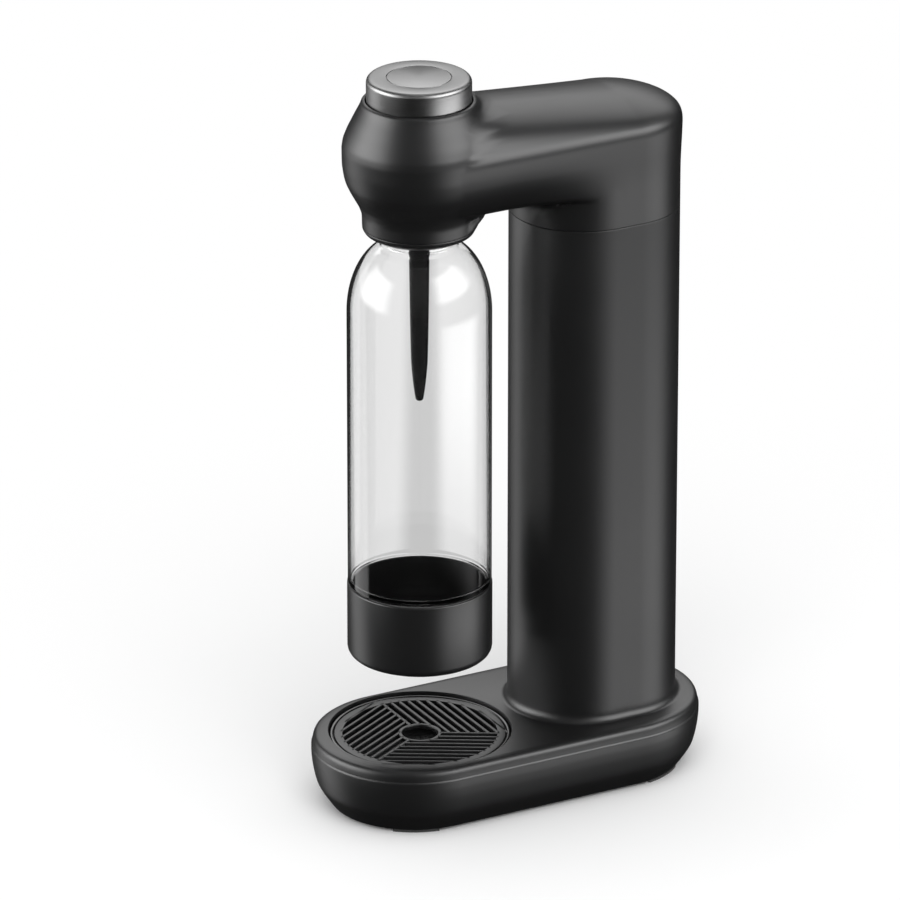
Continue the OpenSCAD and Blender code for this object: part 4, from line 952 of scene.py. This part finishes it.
def bar_tree():
    """Bars along the source's edges, with rounded corners."""
    tree, given, made = node_tree("grille_bars", [
        ("Width", "NodeSocketFloat"), ("Height", "NodeSocketFloat"), ("Corner", "NodeSocketFloat"),
        ("Material", "NodeSocketMaterial")])
    curve = add_node(tree, "GeometryNodeMeshToCurve", Mesh=given.outputs["Geometry"])
    upright = add_node(tree, "GeometryNodeSetCurveNormal", Curve=curve.outputs[0])
    upright.mode = "Z_UP"
    section = add_node(tree, "GeometryNodeCurvePrimitiveQuadrilateral", Width=given.outputs["Width"],
                       Height=given.outputs["Height"])
    soft = add_node(tree, "GeometryNodeFilletCurve", Curve=section.outputs[0], Radius=given.outputs["Corner"])
    soft.mode = "POLY"
    soft.inputs["Count"].default_value = 2
    bars = add_node(tree, "GeometryNodeCurveToMesh", Curve=upright.outputs[0], Profile_Curve=soft.outputs[0],
                    Fill_Caps=True)
    end_tree(tree, bars.outputs[0], made, given)
    return tree


def sector_bars():
    """Both ends of each bar, in the three sectors whose slots run beside their spoke."""
    ends = []
    z = GRILLE_TOP - GRILLE_T / 2
    hub = FINGER_R + FINGER_RIM / 2
    ring = SLOT_FIELD_R + 1
    for k in range(3):
        turn = math.radians(FIRST_SPOKE - 120 * k)

        def row(x, y):
            return ((x * math.cos(turn) - y * math.sin(turn)) * MM,
                    (BOTTLE_Y + x * math.sin(turn) + y * math.cos(turn)) * MM, z * MM)

        ends.append((row(hub, 0), row(ring, 0)))
        count = math.ceil(SLOT_FIELD_R / SLOT_PITCH)
        for i in range(1, count):
            y = -SPOKE_W / 2 - i * SLOT_PITCH + BAR_W / 2
            left = y / math.tan(math.radians(60))
            right = math.sqrt(max(ring * ring - y * y, 0))
            if abs(y) < hub:
                inner = math.sqrt(hub * hub - y * y)
                ends.append((row(inner, y), row(right, y)))
            elif left < right:
                ends.append((row(left, y), row(right, y)))
    return ends


def make_grille():
    ends = sector_bars()
    source = bpy.data.meshes.new("grille_lines")
    source.from_pydata([p for pair in ends for p in pair], [(2 * i, 2 * i + 1) for i in range(len(ends))], [])
    bars = run_tree(bar_tree(), "grille_bars", source, {
        "Width": BAR_W * MM, "Height": GRILLE_T * MM, "Corner": 0.35 * MM, "Material": materials["satin_black"]})
    low = GRILLE_TOP - GRILLE_T
    rim = turned("grille_rim", filleted([(SLOT_FIELD_R, GRILLE_TOP), (SLOT_FIELD_R, low), (GRILLE_R, low, 0.3),
                                         (GRILLE_R, GRILLE_TOP, 0.5), (SLOT_FIELD_R, GRILLE_TOP)], 4)[:-1])
    hub_r = FINGER_R + FINGER_RIM
    hub = turned("grille_hub", filleted([(FINGER_R, GRILLE_TOP - 1), (FINGER_R, low, 0.3), (hub_r, low, 0.3),
                                         (hub_r, GRILLE_TOP, 0.4), (FINGER_R, GRILLE_TOP, 0.6),
                                         (FINGER_R, GRILLE_TOP - 1)], 4)[:-1], steps=96)
    place(joined("grille", [rim, hub, bars]), "grille", "satin_black", "drip_grille")


def make_spring():
    """The button's return spring, a coil of round wire wound between the ends of its CAD node."""
    low, high = millimetre_box("button_spring")
    half = SPRING_WIRE / 2
    steps, sides = 48, 12
    rings = []
    count = SPRING_TURNS * steps
    for i in range(count + 1):
        a = 2 * math.pi * i / steps
        centre_z = low.z + half + (high.z - low.z - SPRING_WIRE) * i / count
        ring = []
        for k in range(sides):
            b = 2 * math.pi * k / sides
            r = SPRING_R + half * math.cos(b)
            ring.append((r * math.cos(a), BOTTLE_Y + r * math.sin(a), centre_z + half * math.sin(b)))
        rings.append(ring)
    verts, faces = skin(rings)
    obj = make_object("return_spring", verts, faces)
    place(obj, "machine", "plated_steel", "button_spring")
    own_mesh(obj)


# Stage, light and camera, in metres and degrees

CAMERA_AZIMUTH = 61.653
CAMERA_ELEVATION = 22.489
CAMERA_DISTANCE = 4.6912
CAMERA_TARGET = (0.00799, -0.0401, 0.2102)
CAMERA_LENS = 339.79
FLOOR_SIZE = 6.0
# Place of the bottle across the photo's view, and the soft darker streak of painted shade behind it, in the floor's
# painted glow through the bottle
BEHIND_BOTTLE = -0.0483
PAINTED_STREAK_EDGE = (0.006, 0.024)
PAINTED_STREAK_LEVELS = (0.72, 0.98)
# Where the floor fades to plain white, as distances from a point beside the column
FLOOR_MIDDLE_Y = 0.06
FLOOR_FADE = (0.2, 0.55)


def seen_direction(turn, rise):
    """Direction from the object, turned from the camera's side to its right and raised, in degrees."""
    a, f, e = math.radians(CAMERA_AZIMUTH), math.radians(turn), math.radians(rise)
    front, right = Vector((math.sin(a), -math.cos(a), 0)), Vector((math.cos(a), math.sin(a), 0))
    return (front * math.cos(f) + right * math.sin(f)) * math.cos(e) + Vector((0, 0, math.sin(e)))


def make_stage():
    """The floor: it takes the shadow, is white far away, and shows a painted glow, crossed by a painted darker streak
    behind the bottle, to rays through both of the bottle's walls.
    """
    mesh = bpy.data.meshes.new("floor")
    corners = [(x * FLOOR_SIZE, y * FLOOR_SIZE, 0) for x, y in ((-1, -1), (1, -1), (1, 1), (-1, 1))]
    mesh.from_pydata(corners, [], [(0, 1, 2, 3)])
    floor = linked("floor", mesh)
    material, tree, shader = new_material("floor_white")
    shader.inputs["Base Color"].default_value = (0.95, 0.95, 0.95, 1)
    shader.inputs["Roughness"].default_value = 0.9
    shader.inputs["Specular IOR Level"].default_value = 0.0
    light = tree.nodes.new("ShaderNodeLightPath")
    at = object_vector(tree)
    # Painted shade: a soft darker streak across the floor's glow, in line behind the bottle
    across = vector_node(tree, "DOT_PRODUCT", at, seen_direction(90, 0)).outputs["Value"]
    aside = math_node(tree, "ABSOLUTE", math_node(tree, "SUBTRACT", across, BEHIND_BOTTLE))
    painted_shade_streak = between(tree, smooth_step(tree, aside, *PAINTED_STREAK_EDGE), *PAINTED_STREAK_LEVELS)
    both_walls = math_node(tree, "GREATER_THAN", light.outputs["Transmission Depth"], 2.5)
    level = math_node(tree, "MULTIPLY", between(tree, both_walls, 0.03, 1.0), painted_shade_streak)
    # Painted light: the floor glows for rays that pass through the bottle, fully where they crossed both walls
    painted_glow = add_node(tree, "ShaderNodeEmission", Color=(1, 1, 1, 1), Strength=level)
    painted_light_through_glass = mixed(tree, light.outputs["Is Transmission Ray"], shader, painted_glow)
    distance = vector_node(tree, "DISTANCE", at, (0, FLOOR_MIDDLE_Y, 0)).outputs["Value"]
    far = math_node(tree, "MULTIPLY", light.outputs["Is Camera Ray"], smooth_step(tree, distance, *FLOOR_FADE))
    white = add_node(tree, "ShaderNodeEmission", Color=(1, 1, 1, 1), Strength=1.0)
    set_surface(tree, mixed(tree, far, painted_light_through_glass, white))
    mesh.materials.append(material)
    floor.visible_glossy = False
    floor.visible_diffuse = False


def make_panel_group():
    """A soft-edged light panel in the surroundings, as a mask of the direction."""
    group, given, made = new_group("panel_mask", ("Mask",), Vector=None, Aim=None, Wide=0.0, Full=0.5, Low=-0.5,
                                   High=0.5, Soft=0.15)
    parts = add_node(group, "ShaderNodeSeparateXYZ", Vector=given.outputs["Vector"])
    level = add_node(group, "ShaderNodeCombineXYZ", X=parts.outputs[0], Y=parts.outputs[1])
    unit = vector_node(group, "NORMALIZE", level.outputs[0])
    dot = vector_node(group, "DOT_PRODUCT", unit.outputs[0], given.outputs["Aim"])
    across = smooth_step(group, dot.outputs["Value"], given.outputs["Wide"], given.outputs["Full"])
    below = math_node(group, "SUBTRACT", given.outputs["Low"], given.outputs["Soft"])
    above = math_node(group, "ADD", given.outputs["High"], given.outputs["Soft"])
    rise = smooth_step(group, parts.outputs[2], below, given.outputs["Low"])
    fall = smooth_step(group, parts.outputs[2], above, given.outputs["High"])
    mask = math_node(group, "MULTIPLY", across, math_node(group, "MULTIPLY", rise, fall))
    group.links.new(mask, made.inputs["Mask"])
    return group


# Panels of the surroundings: turn, half width in full light and to its end, lowest and highest rise in
# degrees, and strength
PANELS = [(69, 5, 44, -22, -18, 5.4), (65, 15, 45, 15, 42, 7.0), (-82, 4, 38, 1, 28, 7.8),
          (-112, 14, 22, -35, 12, 1.5), (180, 37, 43, 26, 56, 2.6)]
PANEL_SOFT = 0.14
# A dim sky and a lamp overhead for glossy rays: where each starts and is full, as a sine, and its strength
SKY = [(0.02, 0.4, 0.12), (0.93, 0.985, 0.8)]
GLOSS_AMBIENT = 0.02
DIFFUSE_AMBIENT = 0.88
# The surroundings through the bottle: level beside the view, and where it starts and ends to rise to white
GLASS_SIDE_LEVEL = 0.12
GLASS_RISE = (0.1, 0.6)
# The key light: turn and rise of its direction, what it looks at, its distance, side and power
KEY_DIRECTION = (6, 54)
KEY_TARGET = (0, 0, 0.2)
KEY_DISTANCE = 2.2
KEY_SIDE = 1.6
KEY_POWER = 18


def make_world():
    """Surroundings: panels for glossy rays, white for the camera, and an even light for the rest."""
    world = bpy.data.worlds.new("studio")
    bpy.context.scene.world = world
    world.use_nodes = True
    tree = world.node_tree
    tree.nodes.clear()

    def backdrop(strength):
        return add_node(tree, "ShaderNodeBackground", Color=(1, 1, 1, 1), Strength=strength)

    panel_group = make_panel_group()
    direction = tree.nodes.new("ShaderNodeTexCoord").outputs["Generated"]
    up = add_node(tree, "ShaderNodeSeparateXYZ", Vector=direction).outputs["Z"]
    total = GLOSS_AMBIENT
    for low, high, strength in SKY:
        light = math_node(tree, "MULTIPLY", smooth_step(tree, up, low, high), strength)
        total = math_node(tree, "ADD", light, total)
    for turn, full, wide, low, high, strength in PANELS:
        full, wide = math.cos(math.radians(full)), math.cos(math.radians(wide))
        low, high = math.sin(math.radians(low)), math.sin(math.radians(high))
        panel = surface_group(tree, panel_group, direction, Aim=seen_direction(turn, 0), Full=full, Wide=wide,
                              Low=low, High=high, Soft=PANEL_SOFT)
        light = math_node(tree, "MULTIPLY", panel.outputs[0], strength)
        total = math_node(tree, "ADD", light, total)
    beyond = vector_node(tree, "DOT_PRODUCT", direction, seen_direction(180, 0)).outputs["Value"]
    clear = between(tree, smooth_step(tree, beyond, *GLASS_RISE), GLASS_SIDE_LEVEL, 1.0)
    path = tree.nodes.new("ShaderNodeLightPath")
    result = backdrop(DIFFUSE_AMBIENT)
    for ray, strength in (("Is Glossy Ray", total), ("Is Transmission Ray", clear), ("Is Camera Ray", 1.0)):
        result = mixed(tree, path.outputs[ray], result, backdrop(strength))
    output = tree.nodes.new("ShaderNodeOutputWorld")
    tree.links.new(result.outputs[0], output.inputs["Surface"])


def aim(obj, place_at, back):
    """Puts a lamp or camera in its place, looking away from the given direction."""
    obj.location = place_at
    obj.rotation_mode = "QUATERNION"
    obj.rotation_quaternion = back.to_track_quat("Z", "Y")


def make_key():
    """A large softbox. Gloss and glass don't show it, because the panels stand for it there."""
    lamp = bpy.data.lights.new("key", "AREA")
    lamp.shape = "RECTANGLE"
    lamp.size = lamp.size_y = KEY_SIDE
    lamp.energy = KEY_POWER
    obj = linked("key", lamp)
    place_at = seen_direction(*KEY_DIRECTION) * KEY_DISTANCE
    aim(obj, place_at, place_at - Vector(KEY_TARGET))
    obj.visible_glossy = False
    obj.visible_transmission = False


def make_camera():
    camera = bpy.data.cameras.new("photo_view")
    camera.lens = CAMERA_LENS
    camera.sensor_width = 36
    camera.clip_end = 100
    obj = linked("photo_view", camera)
    a, e = math.radians(CAMERA_AZIMUTH), math.radians(CAMERA_ELEVATION)
    back = Vector((math.sin(a) * math.cos(e), -math.cos(a) * math.cos(e), math.sin(e)))
    aim(obj, Vector(CAMERA_TARGET) + back * CAMERA_DISTANCE, back)
    bpy.context.scene.camera = obj


for make in (make_head, make_column, make_base, make_collar, make_bottle, make_boot, make_nozzle, make_button,
             make_tray, make_grille, make_spring, make_stage, make_world, make_key, make_camera):
    make()
bpy.context.scene.view_settings.view_transform = "Standard"
